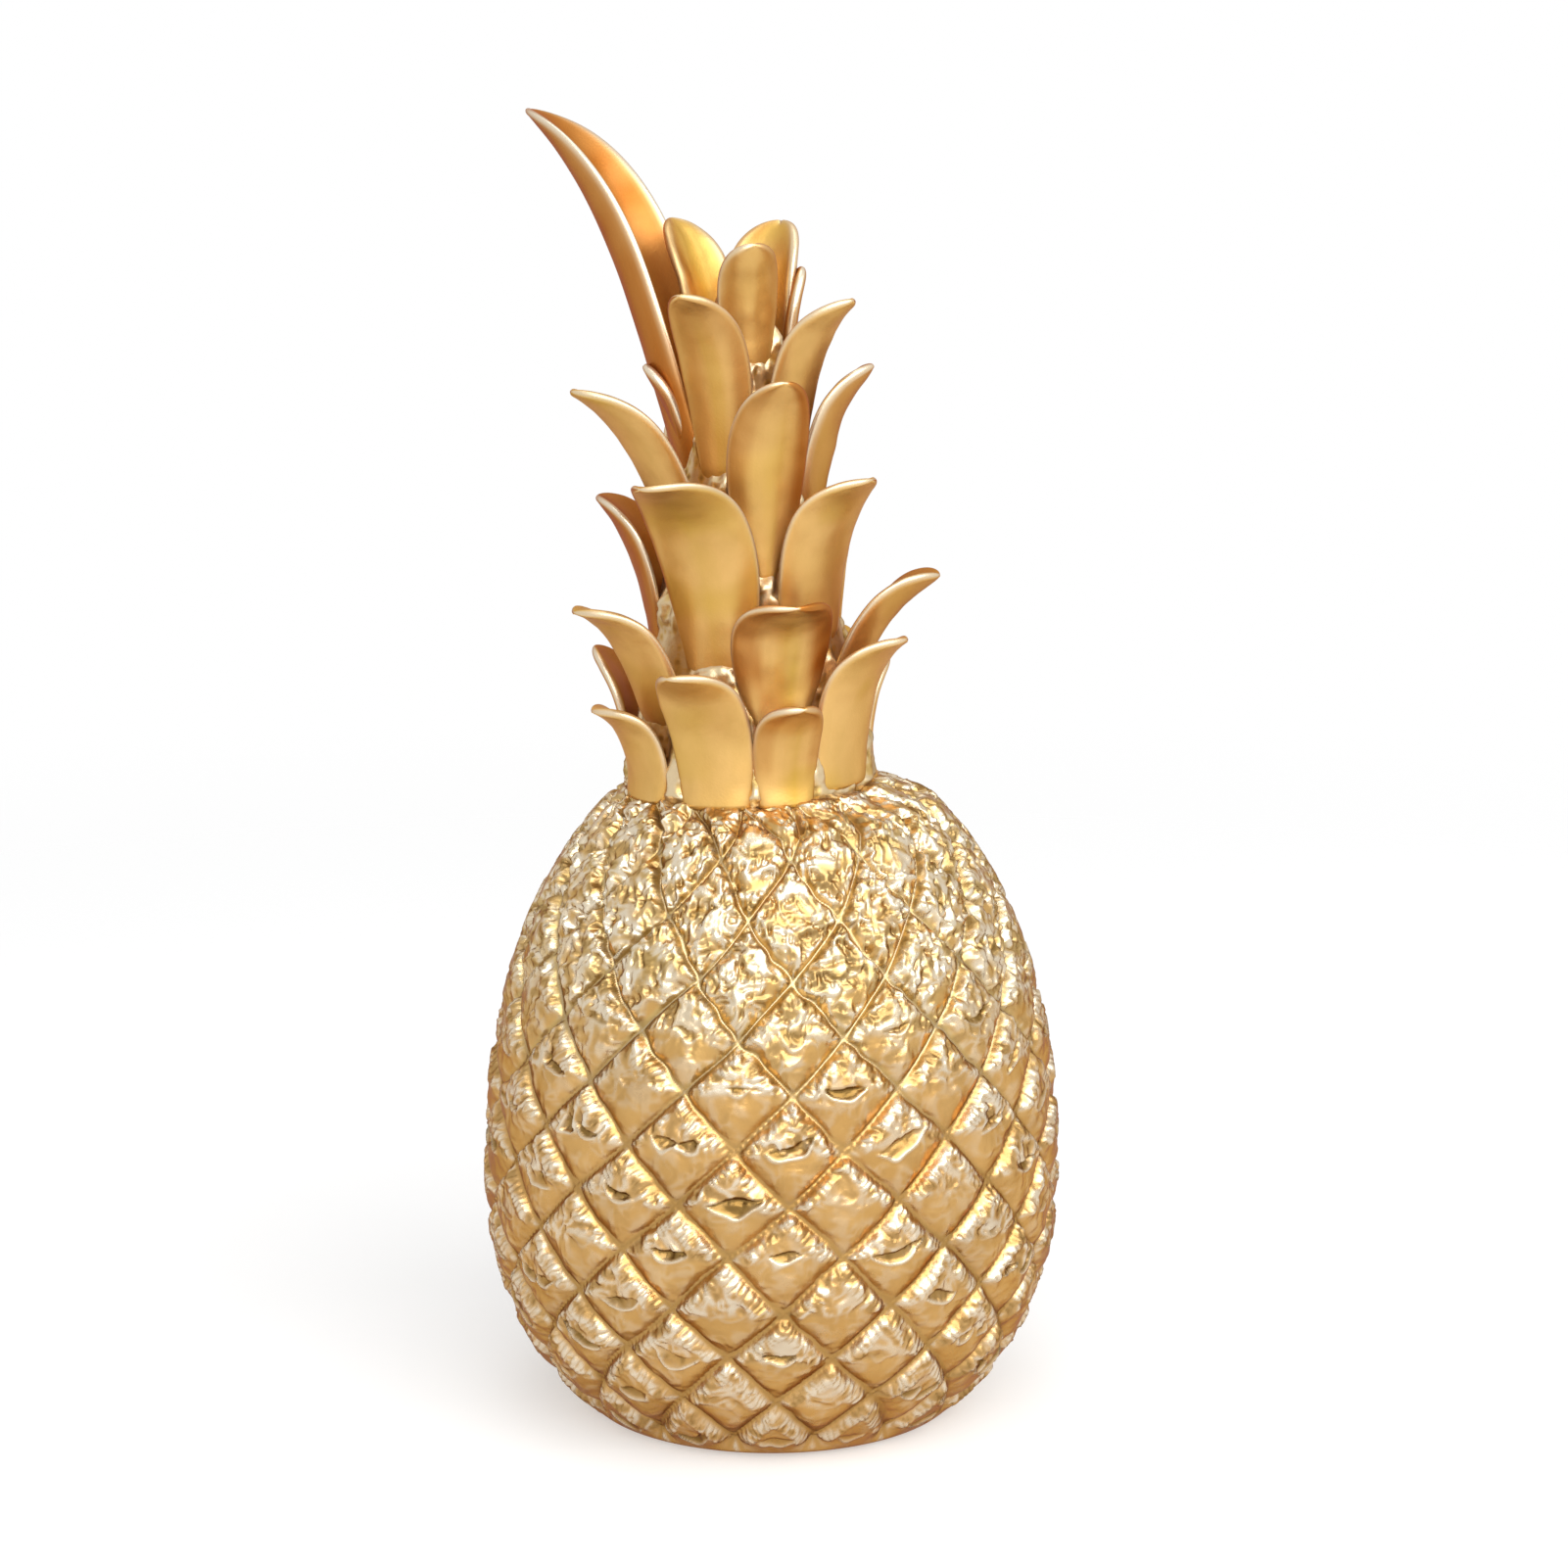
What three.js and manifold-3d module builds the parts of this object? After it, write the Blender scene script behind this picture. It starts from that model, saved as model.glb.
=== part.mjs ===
// Gold pineapple figurine, as it is moulded and put together: a hollow cast fruit covered in
// diamond-shaped eyes, a plug and a felt disc under it, and a crown of separate leaves let into a
// tapering stalk, whose peg sits in a socket in the top of the fruit.
// Millimetres, +Z up. The origin is on the table under the middle of the fruit; the front faces -Y.
import * as THREE from "three";
import { mergeVertices } from "three/addons/utils/BufferGeometryUtils.js";
import Module from "manifold-3d";

const wasm = await Module();
wasm.setup();

// Clearances
const fitGap = 0.3;
const cutterOverrun = 2;

// Fruit outline: two superellipse arcs that meet at the widest height
const fruitRadius = 47.35;
const fruitWidestHeight = 41;
const fruitTopHeight = 103.5;
const fruitTopRadius = 24.4;
const fruitBaseRadius = 30.5;
const upperArcPower = 2.09;
const lowerArcPower = 2.3;

// Eyes of the fruit: rows of diamonds, each row shifted by half an eye from the next
const eyesAround = 16;
const eyeRowPitch = 8.68;
const eyeRowHeight = 46.2;
const eyeRowTurn = 3.2;
const eyeTwistPerRow = 0.52;
const eyeRelief = 1.9;
const facetsPerHalfEye = 3;
// Shape of one eye. The places are shares of its half width, measured from its grooves; the heights are
// shares of its relief
const shieldShare = 0.8;
const rightBevelShare = 0.42;
const leftBevelShare = 0.3;
const bevelFallShare = 0.1;
const crestRiseShare = 0.06;
const pocketDropShare = 0.12;
const pocketPlaceShare = 0.1;
const pocketSpreadShare = 0.3;
const plumpPower = 1.9;

// Hollow inside of the casting and its openings
const fruitWall = 6;
const fruitFloorThickness = 9;
const fruitRoofThickness = 17;
const cavitySegments = 28;
const cavityRings = 12;
const pourHoleRadius = 15;

// Base plug and felt disc
const plugRadius = 18;
const plugThickness = 3;
const feltRadius = 24;
const feltThickness = 1.2;
const feltStandProud = 0.6;
const discSegments = 32;

// Crown seat: where the crown stands on the fruit, and how far it leans to the left
const crownOffset = -3.2;
const crownLeanDegrees = 1.4;
const seatRimRadius = 19.9;
// Rings of the shoulder from the last full row of eyes to the seat rim, as shares of the way in, of
// the way up and of the eye relief
const shoulderShares = [
  [0.5, 0.7, 0.8],
  [1, 1, 0],
];

// Stalk of the crown with its peg
const crownHeight = 90;
const stalkHeightShare = 0.867;
const stalkFootRadius = 19.3;
const pegRadius = 9;
const pegLength = 9;
const stalkSegments = 24;
// Radius of the stalk up its height, as [share of the height, share of the foot radius]
const stalkTaperShares = [
  [0, 1],
  [0.18, 0.9],
  [0.35, 0.77],
  [0.54, 0.62],
  [0.72, 0.48],
  [0.9, 0.34],
  [1, 0.2],
];

// Leaves: blades of even thickness that hug the stalk at the foot and curl outwards at the tip; below
// the foot each has a root that runs down into the stalk
const leafThickness = 2;
const leafWidth = 14;
const leafSink = 1.6;
const leafRoot = 4.2;
const rootTipShare = 0.6;
const leafSteps = 8;
const crowdingPower = 1.5;
const curlPower = 2.2;
const sidePower = 1.6;
const tipPower = 1.9;
const rimPower = 5;
const thinningPower = 10;
// Places across the outer face of a blade, as shares of its half width
const bladeShares = [-0.75, -0.3, 0.3, 0.75];
const foldedBladeShares = [-0.85, -0.5, -0.17, 0.17, 0.5, 0.85];
const commonLeafShares = {
  side: 0,
  root: 0.8,
  wide: 0.6,
  blunt: 0.6,
  cup: 1.1,
  keel: 0,
  curlEase: 1,
  blade: bladeShares,
};

// One row a leaf: azimuth, foot, length, width, lean, curl, and what differs from the common shares.
// azimuth: degrees round the crown, 0 at the front and + to the right. foot, length: shares of the
// crown height. width: share of the leaf width. lean, curl: degrees outwards at the foot and at the tip.
// side: degrees that the tip turns to the right. root: share of the width at the foot. wide: share of
// the length where the blade is widest. blunt: smaller for a broader tip. cup: radius across the blade
// as a share of the stalk's radius at the foot. keel: depth of the fold down the middle as a share of
// the half width. curlEase: smaller for a curl that starts lower. blade: the places across its face.
const leafShares = {
  tier1_leaf_left: [-62, 0, 0.205, 1.05, 8, 83, { side: -10 }],
  tier1_leaf_front_left: [-17, 0, 0.3, 1, 4, 78, { side: -22 }],
  tier1_leaf_front_right: [17, 0, 0.22, 0.8, 2, 80, { side: 8 }],
  tier1_leaf_right: [55, 0.02, 0.31, 1.12, 2, 75, { side: 10 }],
  tier1_leaf_far_right: [103, 0, 0.23, 0.93, 0, 42, {}],
  tier1_leaf_back_right: [146, 0, 0.28, 1, 3, 75, { side: 8 }],
  tier1_leaf_back_left: [-166, 0, 0.26, 0.93, 3, 80, {}],
  tier1_leaf_far_left: [-108, 0, 0.262, 0.86, 6, 50, {}],
  tier2_leaf_left: [-56, 0.144, 0.278, 1.1, 18, 86, { side: -5, cup: 1.5 }],
  tier2_leaf_front: [17, 0.14, 0.27, 1.2, 5, 80, { root: 0.5, blunt: 0.55 }],
  tier2_leaf_right: [76, 0.18, 0.27, 1, 26, 71, { keel: 0.25, cup: 1.6 }],
  tier2_leaf_back_right: [156, 0.15, 0.24, 1, 8, 66, {}],
  tier2_leaf_back_left: [-146, 0.14, 0.27, 1.05, 7, 70, {}],
  tier3_leaf_front_left: [-18, 0.24, 0.42, 1.25, 4, 84, { side: -25, root: 0.6 }],
  tier3_leaf_front_right: [47, 0.29, 0.32, 1.16, 6, 68, { side: 7 }],
  tier3_leaf_left: [-98, 0.27, 0.275, 1.3, 9, 50, { keel: 0.1 }],
  tier3_leaf_back: [-178, 0.27, 0.32, 1.1, 6, 76, { root: 0.6 }],
  tier3_leaf_far_right: [112, 0.3, 0.24, 0.9, 5, 38, {}],
  tier4_leaf_front: [15, 0.4, 0.37, 0.96, 4, 50, { side: 6, root: 0.45, blunt: 0.5 }],
  tier4_leaf_left: [-57, 0.45, 0.36, 1.05, 21, 72, { side: -4, cup: 1.5 }],
  tier4_leaf_right: [78, 0.46, 0.315, 0.9, 8, 49, { keel: 0.2, cup: 1.4 }],
  tier4_leaf_back_left: [-150, 0.42, 0.25, 1, 6, 48, {}],
  tier4_leaf_back_right: [160, 0.44, 0.27, 0.93, 6, 60, {}],
  tier5_leaf_front_left: [-20, 0.58, 0.35, 0.88, 4, 62, { side: -10, root: 0.6 }],
  tier5_leaf_front_right: [52, 0.58, 0.34, 0.86, 8, 68, {}],
  tier5_leaf_back: [172, 0.58, 0.3, 0.86, 6, 60, {}],
  tier5_leaf_left: [-86, 0.6, 0.17, 0.6, 16, 42, {}],
  tier6_leaf_front: [14, 0.76, 0.22, 0.74, 2, 44, { root: 0.65, blunt: 0.5 }],
  tier6_leaf_right: [102, 0.72, 0.2, 0.6, 3, 22, {}],
  tier6_leaf_back_right: [144, 0.72, 0.28, 1.1, 4, 28, { blunt: 0.5 }],
  tier6_leaf_back_left: [-132, 0.74, 0.28, 0.9, 6, 46, { cup: 1.3 }],
  top_leaf: [-111, 0.569, 0.722, 1.545, 16, 57, {
    side: -14.6, root: 0.98, wide: 0.5, blunt: 0.52, cup: 0.78, curlEase: 1.24, blade: foldedBladeShares,
  }],
};

const goldColour = 0xd9aa64;
const goldRoughness = 0.34;
const goldMetalness = 0.9;
const resinColour = 0xe6ddcc;
const resinRoughness = 0.7;
const feltColour = 0x2f2c2a;
const feltRoughness = 0.95;

const radians = THREE.MathUtils.degToRad;
const fullTurn = 2 * Math.PI;
const baseHeight = feltStandProud;
const stalkHeight = crownHeight * stalkHeightShare;
const seatFrame = new THREE.Matrix4()
  .makeTranslation(crownOffset, 0, fruitTopHeight)
  .multiply(new THREE.Matrix4().makeRotationY(radians(-crownLeanDegrees)));

// Closed geometry to a solid for cutting, and back
function toSolid(geometry, matrix = new THREE.Matrix4()) {
  const bare = geometry.clone().applyMatrix4(matrix);
  bare.deleteAttribute("normal");
  bare.deleteAttribute("uv");
  const welded = mergeVertices(bare);
  return new wasm.Manifold(new wasm.Mesh({
    numProp: 3,
    vertProperties: new Float32Array(welded.attributes.position.array),
    triVerts: new Uint32Array(welded.index.array),
  }));
}

function toGeometry(solid) {
  const mesh = solid.getMesh();
  const geometry = new THREE.BufferGeometry();
  geometry.setAttribute("position", new THREE.BufferAttribute(new Float32Array(mesh.vertProperties), 3));
  geometry.setIndex(new THREE.BufferAttribute(new Uint32Array(mesh.triVerts), 1));
  geometry.computeVertexNormals();
  return geometry;
}

function largestPiece(solid) {
  return solid.decompose().reduce((best, piece) => (piece.volume() > best.volume() ? piece : best));
}

// A revolved solid from [radius, height] points; the axis of LatheGeometry is turned upright
function revolve(points, segments) {
  const outline = points.map(([radius, height]) => new THREE.Vector2(radius, height));
  return new THREE.LatheGeometry(outline, segments).rotateX(Math.PI / 2);
}

function disc(radius, bottom, top, segments) {
  return revolve([[0, bottom], [radius, bottom], [radius, top], [0, top]], segments);
}

// One arc of a superellipse that starts at full radius and passes through endRadius at the distance
// endDistance; the result is the radius at any distance from the widest height
function outlineArc(fullRadius, endRadius, endDistance, power) {
  const reach = endDistance / (1 - (endRadius / fullRadius) ** power) ** (1 / power);
  return (distance) => fullRadius * (1 - (distance / reach) ** power) ** (1 / power);
}

const upperArc = outlineArc(fruitRadius, fruitTopRadius, fruitTopHeight - fruitWidestHeight, upperArcPower);
const lowerArc = outlineArc(fruitRadius, fruitBaseRadius, fruitWidestHeight - baseHeight, lowerArcPower);

function fruitRadiusAt(height) {
  return height > fruitWidestHeight
    ? upperArc(height - fruitWidestHeight)
    : lowerArc(fruitWidestHeight - height);
}

// Direction square to the fruit's outline at a height, as [outwards, upwards]
function fruitOutlineNormal(height) {
  const probe = eyeRowPitch / 20;
  const above = Math.min(height + probe, fruitTopHeight);
  const below = Math.max(height - probe, baseHeight);
  const slope = (fruitRadiusAt(above) - fruitRadiusAt(below)) / (above - below);
  const length = Math.hypot(1, slope);
  return [1 / length, -slope / length];
}

// Rises from 0, steep at first, and levels off at 1
function plump(share) {
  return 1 - (1 - THREE.MathUtils.clamp(share, 0, 1)) ** plumpPower;
}

// Height of an eye over its groove as a share of the relief. x and y run from -1 to 1 across the
// diamond: a smooth shield below, a pocket in the middle, and above it a crest from which two bevels
// fall to the upper grooves.
function eyeHeightShare(x, y) {
  const shield = plump((1 - x + y) / shieldShare) * plump((1 + x + y) / shieldShare);
  const onRight = (1 - x - y) / rightBevelShare;
  const onLeft = (1 + x - y) / leftBevelShare;
  const crest = Math.exp(-((Math.min(onRight, onLeft) - 1) ** 2)) * Math.max(0, y);
  const pocket = Math.exp(-(((y - pocketPlaceShare) / pocketSpreadShare) ** 2)) * Math.max(0, 1 - 2 * x * x);
  const level = 1 + crestRiseShare * crest - pocketDropShare * pocket - bevelFallShare * Math.max(0, y);
  return shield * plump(onRight) * plump(onLeft) * level;
}

// Where a point of the fruit's skin lies in its own eye, from -1 to 1 across and up
function placeInEye(columns, rows) {
  const rising = columns - rows / 2;
  const falling = columns + rows / 2;
  const acrossRising = rising - Math.floor(rising) - 0.5;
  const acrossFalling = falling - Math.floor(falling) - 0.5;
  return [acrossFalling + acrossRising, acrossFalling - acrossRising];
}

// The skin of the fruit: rings of points that follow the rows of eyes, from a flat foot up to the rim
// of the tilted seat under the crown
function fruitSkin() {
  const facetsPerEye = 2 * facetsPerHalfEye;
  const columns = facetsPerEye * eyesAround;
  const ringStep = eyeRowPitch / facetsPerHalfEye;
  const lowest = Math.ceil((baseHeight - eyeRowHeight) / ringStep + 0.25);
  const highest = Math.floor((fruitTopHeight - eyeRowHeight) / ringStep - 0.25);
  const positions = [];
  const indices = [];
  const rings = [];

  function addPoint(point) {
    positions.push(point.x, point.y, point.z);
    return positions.length / 3 - 1;
  }

  // A point of the skin; shoulder gives its shares of the way to the seat rim
  function skinPoint(column, rows, height, [inShare, upShare, reliefShare]) {
    const [outwards, upwards] = fruitOutlineNormal(height);
    const [x, y] = placeInEye(column / facetsPerEye, rows);
    const lift = (eyeHeightShare(x, y) - 1) * eyeRelief * reliefShare;
    const angle = (fullTurn * column) / columns + radians(eyeRowTurn + eyeTwistPerRow * rows);
    const around = new THREE.Vector3(Math.sin(angle), -Math.cos(angle), 0);
    const point = around.clone().multiplyScalar(fruitRadiusAt(height)).setZ(height);
    const rim = around.clone().multiplyScalar(seatRimRadius).applyMatrix4(seatFrame);
    const place = point.clone().lerp(rim, inShare).setZ(THREE.MathUtils.lerp(point.z, rim.z, upShare));
    return place.addScaledVector(around.multiplyScalar(outwards).setZ(upwards), lift);
  }

  function addRing(ringNumber, height, shoulder) {
    const rows = ringNumber / facetsPerHalfEye;
    const ring = [];
    for (let column = 0; column < columns; column += 1) {
      ring.push(addPoint(skinPoint(column, rows, height, shoulder)));
    }
    rings.push(ring);
  }

  // Cells above a ring are split along the nearer groove, so that grooves stay sharp
  function joinRings(lower, upper, ringNumber) {
    for (let column = 0; column < columns; column += 1) {
      const next = (column + 1) % columns;
      const [x, y] = placeInEye((column + 0.5) / facetsPerEye, (ringNumber + 0.5) / facetsPerHalfEye);
      if (x * y > 0) {
        indices.push(lower[column], lower[next], upper[column], lower[next], upper[next], upper[column]);
      } else {
        indices.push(lower[column], lower[next], upper[next], lower[column], upper[next], upper[column]);
      }
    }
  }

  addRing(lowest - 1, baseHeight, [0, 0, 0]);
  for (let ringNumber = lowest; ringNumber <= highest; ringNumber += 1) {
    addRing(ringNumber, eyeRowHeight + ringNumber * ringStep, [0, 0, 1]);
  }
  shoulderShares.forEach((shoulder, above) => {
    addRing(highest + 1 + above, eyeRowHeight + highest * ringStep, shoulder);
  });
  for (let level = 0; level + 1 < rings.length; level += 1) {
    joinRings(rings[level], rings[level + 1], lowest - 1 + level);
  }

  const [foot, top] = [rings[0], rings[rings.length - 1]];
  const footCentre = addPoint(new THREE.Vector3(0, 0, baseHeight));
  const topCentre = addPoint(new THREE.Vector3().applyMatrix4(seatFrame));
  for (let column = 0; column < columns; column += 1) {
    const next = (column + 1) % columns;
    indices.push(footCentre, foot[next], foot[column], topCentre, top[column], top[next]);
  }
  return indexedGeometry(positions, indices);
}

// The hollow of the casting keeps one wall thickness under the skin
function fruitCavity() {
  const roof = fruitTopHeight - fruitRoofThickness;
  const outline = [[0, fruitFloorThickness]];
  for (let ring = 0; ring <= cavityRings; ring += 1) {
    const height = fruitFloorThickness + ((roof - fruitFloorThickness) * ring) / cavityRings;
    const [outwards] = fruitOutlineNormal(height);
    outline.push([fruitRadiusAt(height) - fruitWall / outwards, height]);
  }
  outline.push([0, roof]);
  return revolve(outline, cavitySegments);
}

function fruitShell() {
  const feltTop = feltThickness;
  const plugTop = feltTop + fitGap + plugThickness;
  const socketDepth = pegLength + fitGap;
  return toSolid(fruitSkin())
    .subtract(toSolid(fruitCavity()))
    .subtract(toSolid(disc(pourHoleRadius, baseHeight, fruitFloorThickness + cutterOverrun, discSegments)))
    .subtract(toSolid(disc(plugRadius + fitGap, baseHeight, plugTop + fitGap, discSegments)))
    .subtract(toSolid(disc(feltRadius + fitGap, -cutterOverrun, feltTop + fitGap, discSegments)))
    .subtract(toSolid(disc(pegRadius + fitGap, -socketDepth, cutterOverrun, discSegments), seatFrame));
}

function stalkRadiusAt(height) {
  const share = THREE.MathUtils.clamp(height / stalkHeight, 0, 1);
  const above = Math.max(1, stalkTaperShares.findIndex(([heightShare]) => heightShare >= share));
  const [lowHeight, lowRadius] = stalkTaperShares[above - 1];
  const [highHeight, highRadius] = stalkTaperShares[above];
  const between = (share - lowHeight) / (highHeight - lowHeight);
  return stalkFootRadius * THREE.MathUtils.lerp(lowRadius, highRadius, between);
}

// Stalk and peg in the crown's own frame, whose origin is the middle of the seat on the fruit
function stalkBody() {
  const outline = [[0, -pegLength], [pegRadius, -pegLength], [pegRadius, fitGap]];
  for (const [heightShare] of stalkTaperShares) {
    const height = Math.max(fitGap, heightShare * stalkHeight);
    outline.push([stalkRadiusAt(height), height]);
  }
  outline.push([0, stalkHeight + stalkRadiusAt(stalkHeight) / 2]);
  return revolve(outline, stalkSegments);
}

function leafWidthShare(shape, along) {
  if (along < 0) {
    return shape.root * rootTipShare;
  }
  if (along < shape.wide) {
    return shape.root + (1 - shape.root) * Math.sin((along / shape.wide) * (Math.PI / 2));
  }
  const past = (along - shape.wide) / (1 - shape.wide);
  return (1 - past ** tipPower) ** shape.blunt;
}

// Direction in which a leaf grows, as across, back and up for a leaf at the front of the crown
function leafDirection(shape, along) {
  const grown = Math.max(0, along);
  const tilt = radians(shape.lean + (shape.curl - shape.lean) * grown ** (curlPower * shape.curlEase));
  const turn = radians(shape.side * grown ** sidePower);
  return new THREE.Vector3(Math.sin(turn), -Math.sin(tilt) * Math.cos(turn), Math.cos(tilt) * Math.cos(turn));
}

// One leaf in the crown's frame. spare makes it larger on every side, to cut its seat with a clearance
function leafBlade(shape, spare = 0) {
  const foot = Math.max(2 * fitGap, shape.foot * crownHeight);
  const length = shape.length * crownHeight + 2 * spare;
  const halfWidth = (shape.width * leafWidth) / 2 + spare;
  const halfThickness = leafThickness / 2 + spare;
  const footRadius = stalkRadiusAt(foot) + leafThickness / 2 - leafSink;
  const cupRadius = footRadius * shape.cup;
  const rootShare = Math.min(leafRoot, foot - 2 * fitGap) / length;
  const position = new THREE.Vector3(0, -footRadius, foot - spare)
    .addScaledVector(leafDirection(shape, 0), -rootShare * length);
  const positions = [];
  const indices = [];
  const ringSize = 2 * shape.blade.length + 2;
  const substeps = 6;
  let reached = -rootShare;

  function walkTo(along) {
    const stride = (along - reached) / substeps;
    for (let step = 0; step < substeps; step += 1) {
      position.addScaledVector(leafDirection(shape, reached + stride / 2), stride * length);
      reached += stride;
    }
  }

  function addBladePoint(along, across, side) {
    const growth = leafDirection(shape, along);
    const right = new THREE.Vector3(1, 0, 0).addScaledVector(growth, -growth.x).normalize();
    const outwards = new THREE.Vector3().crossVectors(right, growth);
    const width = halfWidth * leafWidthShare(shape, along);
    const angle = (across * width) / cupRadius;
    const face = outwards.clone().multiplyScalar(Math.cos(angle)).addScaledVector(right, Math.sin(angle));
    const thinning = Math.sqrt((1 - Math.abs(across) ** rimPower) * (1 - Math.abs(along) ** thinningPower));
    const point = position.clone()
      .addScaledVector(right, cupRadius * Math.sin(angle))
      .addScaledVector(outwards, cupRadius * (Math.cos(angle) - 1) - shape.keel * width * Math.abs(across))
      .addScaledVector(face, side * halfThickness * thinning);
    positions.push(point.x, point.y, point.z);
  }

  const stops = rootShare > 0 ? [-rootShare] : [];
  for (let step = 0; step < leafSteps; step += 1) {
    stops.push(1 - (1 - step / leafSteps) ** crowdingPower);
  }
  for (const along of stops) {
    walkTo(along);
    addBladePoint(along, -1, 0);
    shape.blade.forEach((across) => addBladePoint(along, across, 1));
    addBladePoint(along, 1, 0);
    shape.blade.toReversed().forEach((across) => addBladePoint(along, across, -1));
  }
  walkTo(1);
  positions.push(position.x, position.y, position.z);

  const tip = stops.length * ringSize;
  for (let step = 0; step < stops.length; step += 1) {
    for (let corner = 0; corner < ringSize; corner += 1) {
      const here = step * ringSize + corner;
      const beside = step * ringSize + ((corner + 1) % ringSize);
      if (step + 1 < stops.length) {
        indices.push(here, beside, beside + ringSize, here, beside + ringSize, here + ringSize);
      } else {
        indices.push(here, beside, tip);
      }
    }
  }
  indices.push(0, ringSize - 1, 1);
  for (let corner = 1; corner < ringSize / 2; corner += 1) {
    const opposite = ringSize - corner;
    indices.push(corner, opposite, opposite - 1);
    if (corner + 1 < ringSize / 2) {
      indices.push(corner, opposite - 1, corner + 1);
    }
  }
  return indexedGeometry(positions, indices).rotateZ(radians(shape.azimuth));
}

function indexedGeometry(positions, indices) {
  const geometry = new THREE.BufferGeometry();
  geometry.setAttribute("position", new THREE.Float32BufferAttribute(positions, 3));
  geometry.setIndex(indices);
  return geometry;
}

// Each leaf is notched where a lower one stands in its way, and the stalk gets a seat for every leaf
function buildCrown(crown) {
  const leaves = [];
  let stalk = toSolid(stalkBody());
  for (const [name, row] of Object.entries(leafShares)) {
    const [azimuth, foot, length, width, lean, curl, ownShares] = row;
    const shape = { ...commonLeafShares, azimuth, foot, length, width, lean, curl, ...ownShares };
    let blade = toSolid(leafBlade(shape));
    for (const lower of leaves) {
      if (!blade.intersect(lower.cutter).isEmpty()) {
        blade = largestPiece(blade.subtract(lower.cutter));
      }
    }
    const cutter = toSolid(leafBlade(shape, fitGap));
    stalk = stalk.subtract(cutter);
    leaves.push({ name, blade, cutter });
  }
  addPiece(crown, "crown_stalk", toGeometry(largestPiece(stalk)), gold);
  leaves.forEach(({ name, blade }) => addPiece(crown, name, toGeometry(blade), gold));
}

function addPiece(parent, name, geometry, material) {
  const mesh = new THREE.Mesh(geometry, material.clone());
  mesh.name = name;
  parent.add(mesh);
}

const gold = new THREE.MeshStandardMaterial({
  color: goldColour,
  roughness: goldRoughness,
  metalness: goldMetalness,
});
const bareResin = new THREE.MeshStandardMaterial({
  color: resinColour,
  roughness: resinRoughness,
  metalness: 0,
});
const felt = new THREE.MeshStandardMaterial({
  color: feltColour,
  roughness: feltRoughness,
  metalness: 0,
});

const figurine = new THREE.Group();
const crown = new THREE.Group();
crown.applyMatrix4(seatFrame);
figurine.add(crown);
addPiece(figurine, "fruit_shell", toGeometry(fruitShell()), gold);
addPiece(figurine, "base_plug", disc(
  plugRadius,
  feltThickness + fitGap,
  feltThickness + fitGap + plugThickness,
  discSegments,
), bareResin);
addPiece(figurine, "base_felt", disc(feltRadius, 0, feltThickness, discSegments), felt);
buildCrown(crown);

export default figurine;
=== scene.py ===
import math
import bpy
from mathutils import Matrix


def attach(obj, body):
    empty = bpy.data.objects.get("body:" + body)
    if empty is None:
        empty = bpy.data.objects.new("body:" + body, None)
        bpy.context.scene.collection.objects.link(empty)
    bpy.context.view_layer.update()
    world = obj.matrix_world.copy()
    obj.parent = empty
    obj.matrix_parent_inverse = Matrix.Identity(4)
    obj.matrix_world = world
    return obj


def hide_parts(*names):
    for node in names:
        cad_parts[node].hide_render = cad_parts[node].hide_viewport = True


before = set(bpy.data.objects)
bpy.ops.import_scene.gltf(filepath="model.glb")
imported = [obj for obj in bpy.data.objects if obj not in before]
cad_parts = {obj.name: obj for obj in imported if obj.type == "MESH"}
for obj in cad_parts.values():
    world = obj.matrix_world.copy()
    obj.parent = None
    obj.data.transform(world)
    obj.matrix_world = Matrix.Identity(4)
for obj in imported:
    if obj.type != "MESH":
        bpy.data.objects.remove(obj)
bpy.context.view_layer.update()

from types import SimpleNamespace

import bpy
import numpy as np
from mathutils import Matrix, Vector

# All sizes below are in millimetres, as in the part; meshes are made in metres
MM = 0.001

# Fruit outline and the rows of eyes on it
FRUIT_RADIUS = 47.35
FRUIT_WIDEST_HEIGHT = 41.0
FRUIT_TOP_HEIGHT = 103.5
FRUIT_TOP_RADIUS = 24.4
FRUIT_BASE_RADIUS = 30.5
UPPER_ROUNDNESS = 2.09
LOWER_ROUNDNESS = 2.3
EYES_AROUND = 16
EYE_ROW_PITCH = 8.68
EYE_ROW_HEIGHT = 46.2
EYE_ROW_TURN = 3.2
EYE_TWIST_PER_ROW = 0.52
EYE_RELIEF = 1.9
FIRST_EYE_HEIGHT = 2.8
LAST_EYE_HEIGHT = 101.17
SHOULDER_ROWS = 0.667
SHOULDER_POWER = 1.74

# Fineness of the fruit's mesh. A pole is the small ring that closes a mesh on its axis
COLUMNS_PER_EYE = 72
RING_STEP = 0.27
SHOULDER_STEPS = 24
SLOPE_PROBE = 0.4
POLE_RADIUS = 0.01

# How far the skin is drawn in to leave room for its creases, the height above which creases level
# off, as a share of the relief, and the height of the collar at the feet of the leaves
CREASE_ROOM = 0.37
HIGHEST_CREASE = 1.08
CREASE_LEVELLING = 0.3
COLLAR = 1.5

# Foot: the felt disc lies in a shallow recess
BASE_HEIGHT = 0.6
FELT_RADIUS = 24.0
FELT_THICKNESS = 1.2
FELT_EDGE = 0.4
FELT_WAVE = 0.3
FIT_GAP = 0.3
DISC_COLUMNS = 160
EDGE_STEPS = 8

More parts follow.
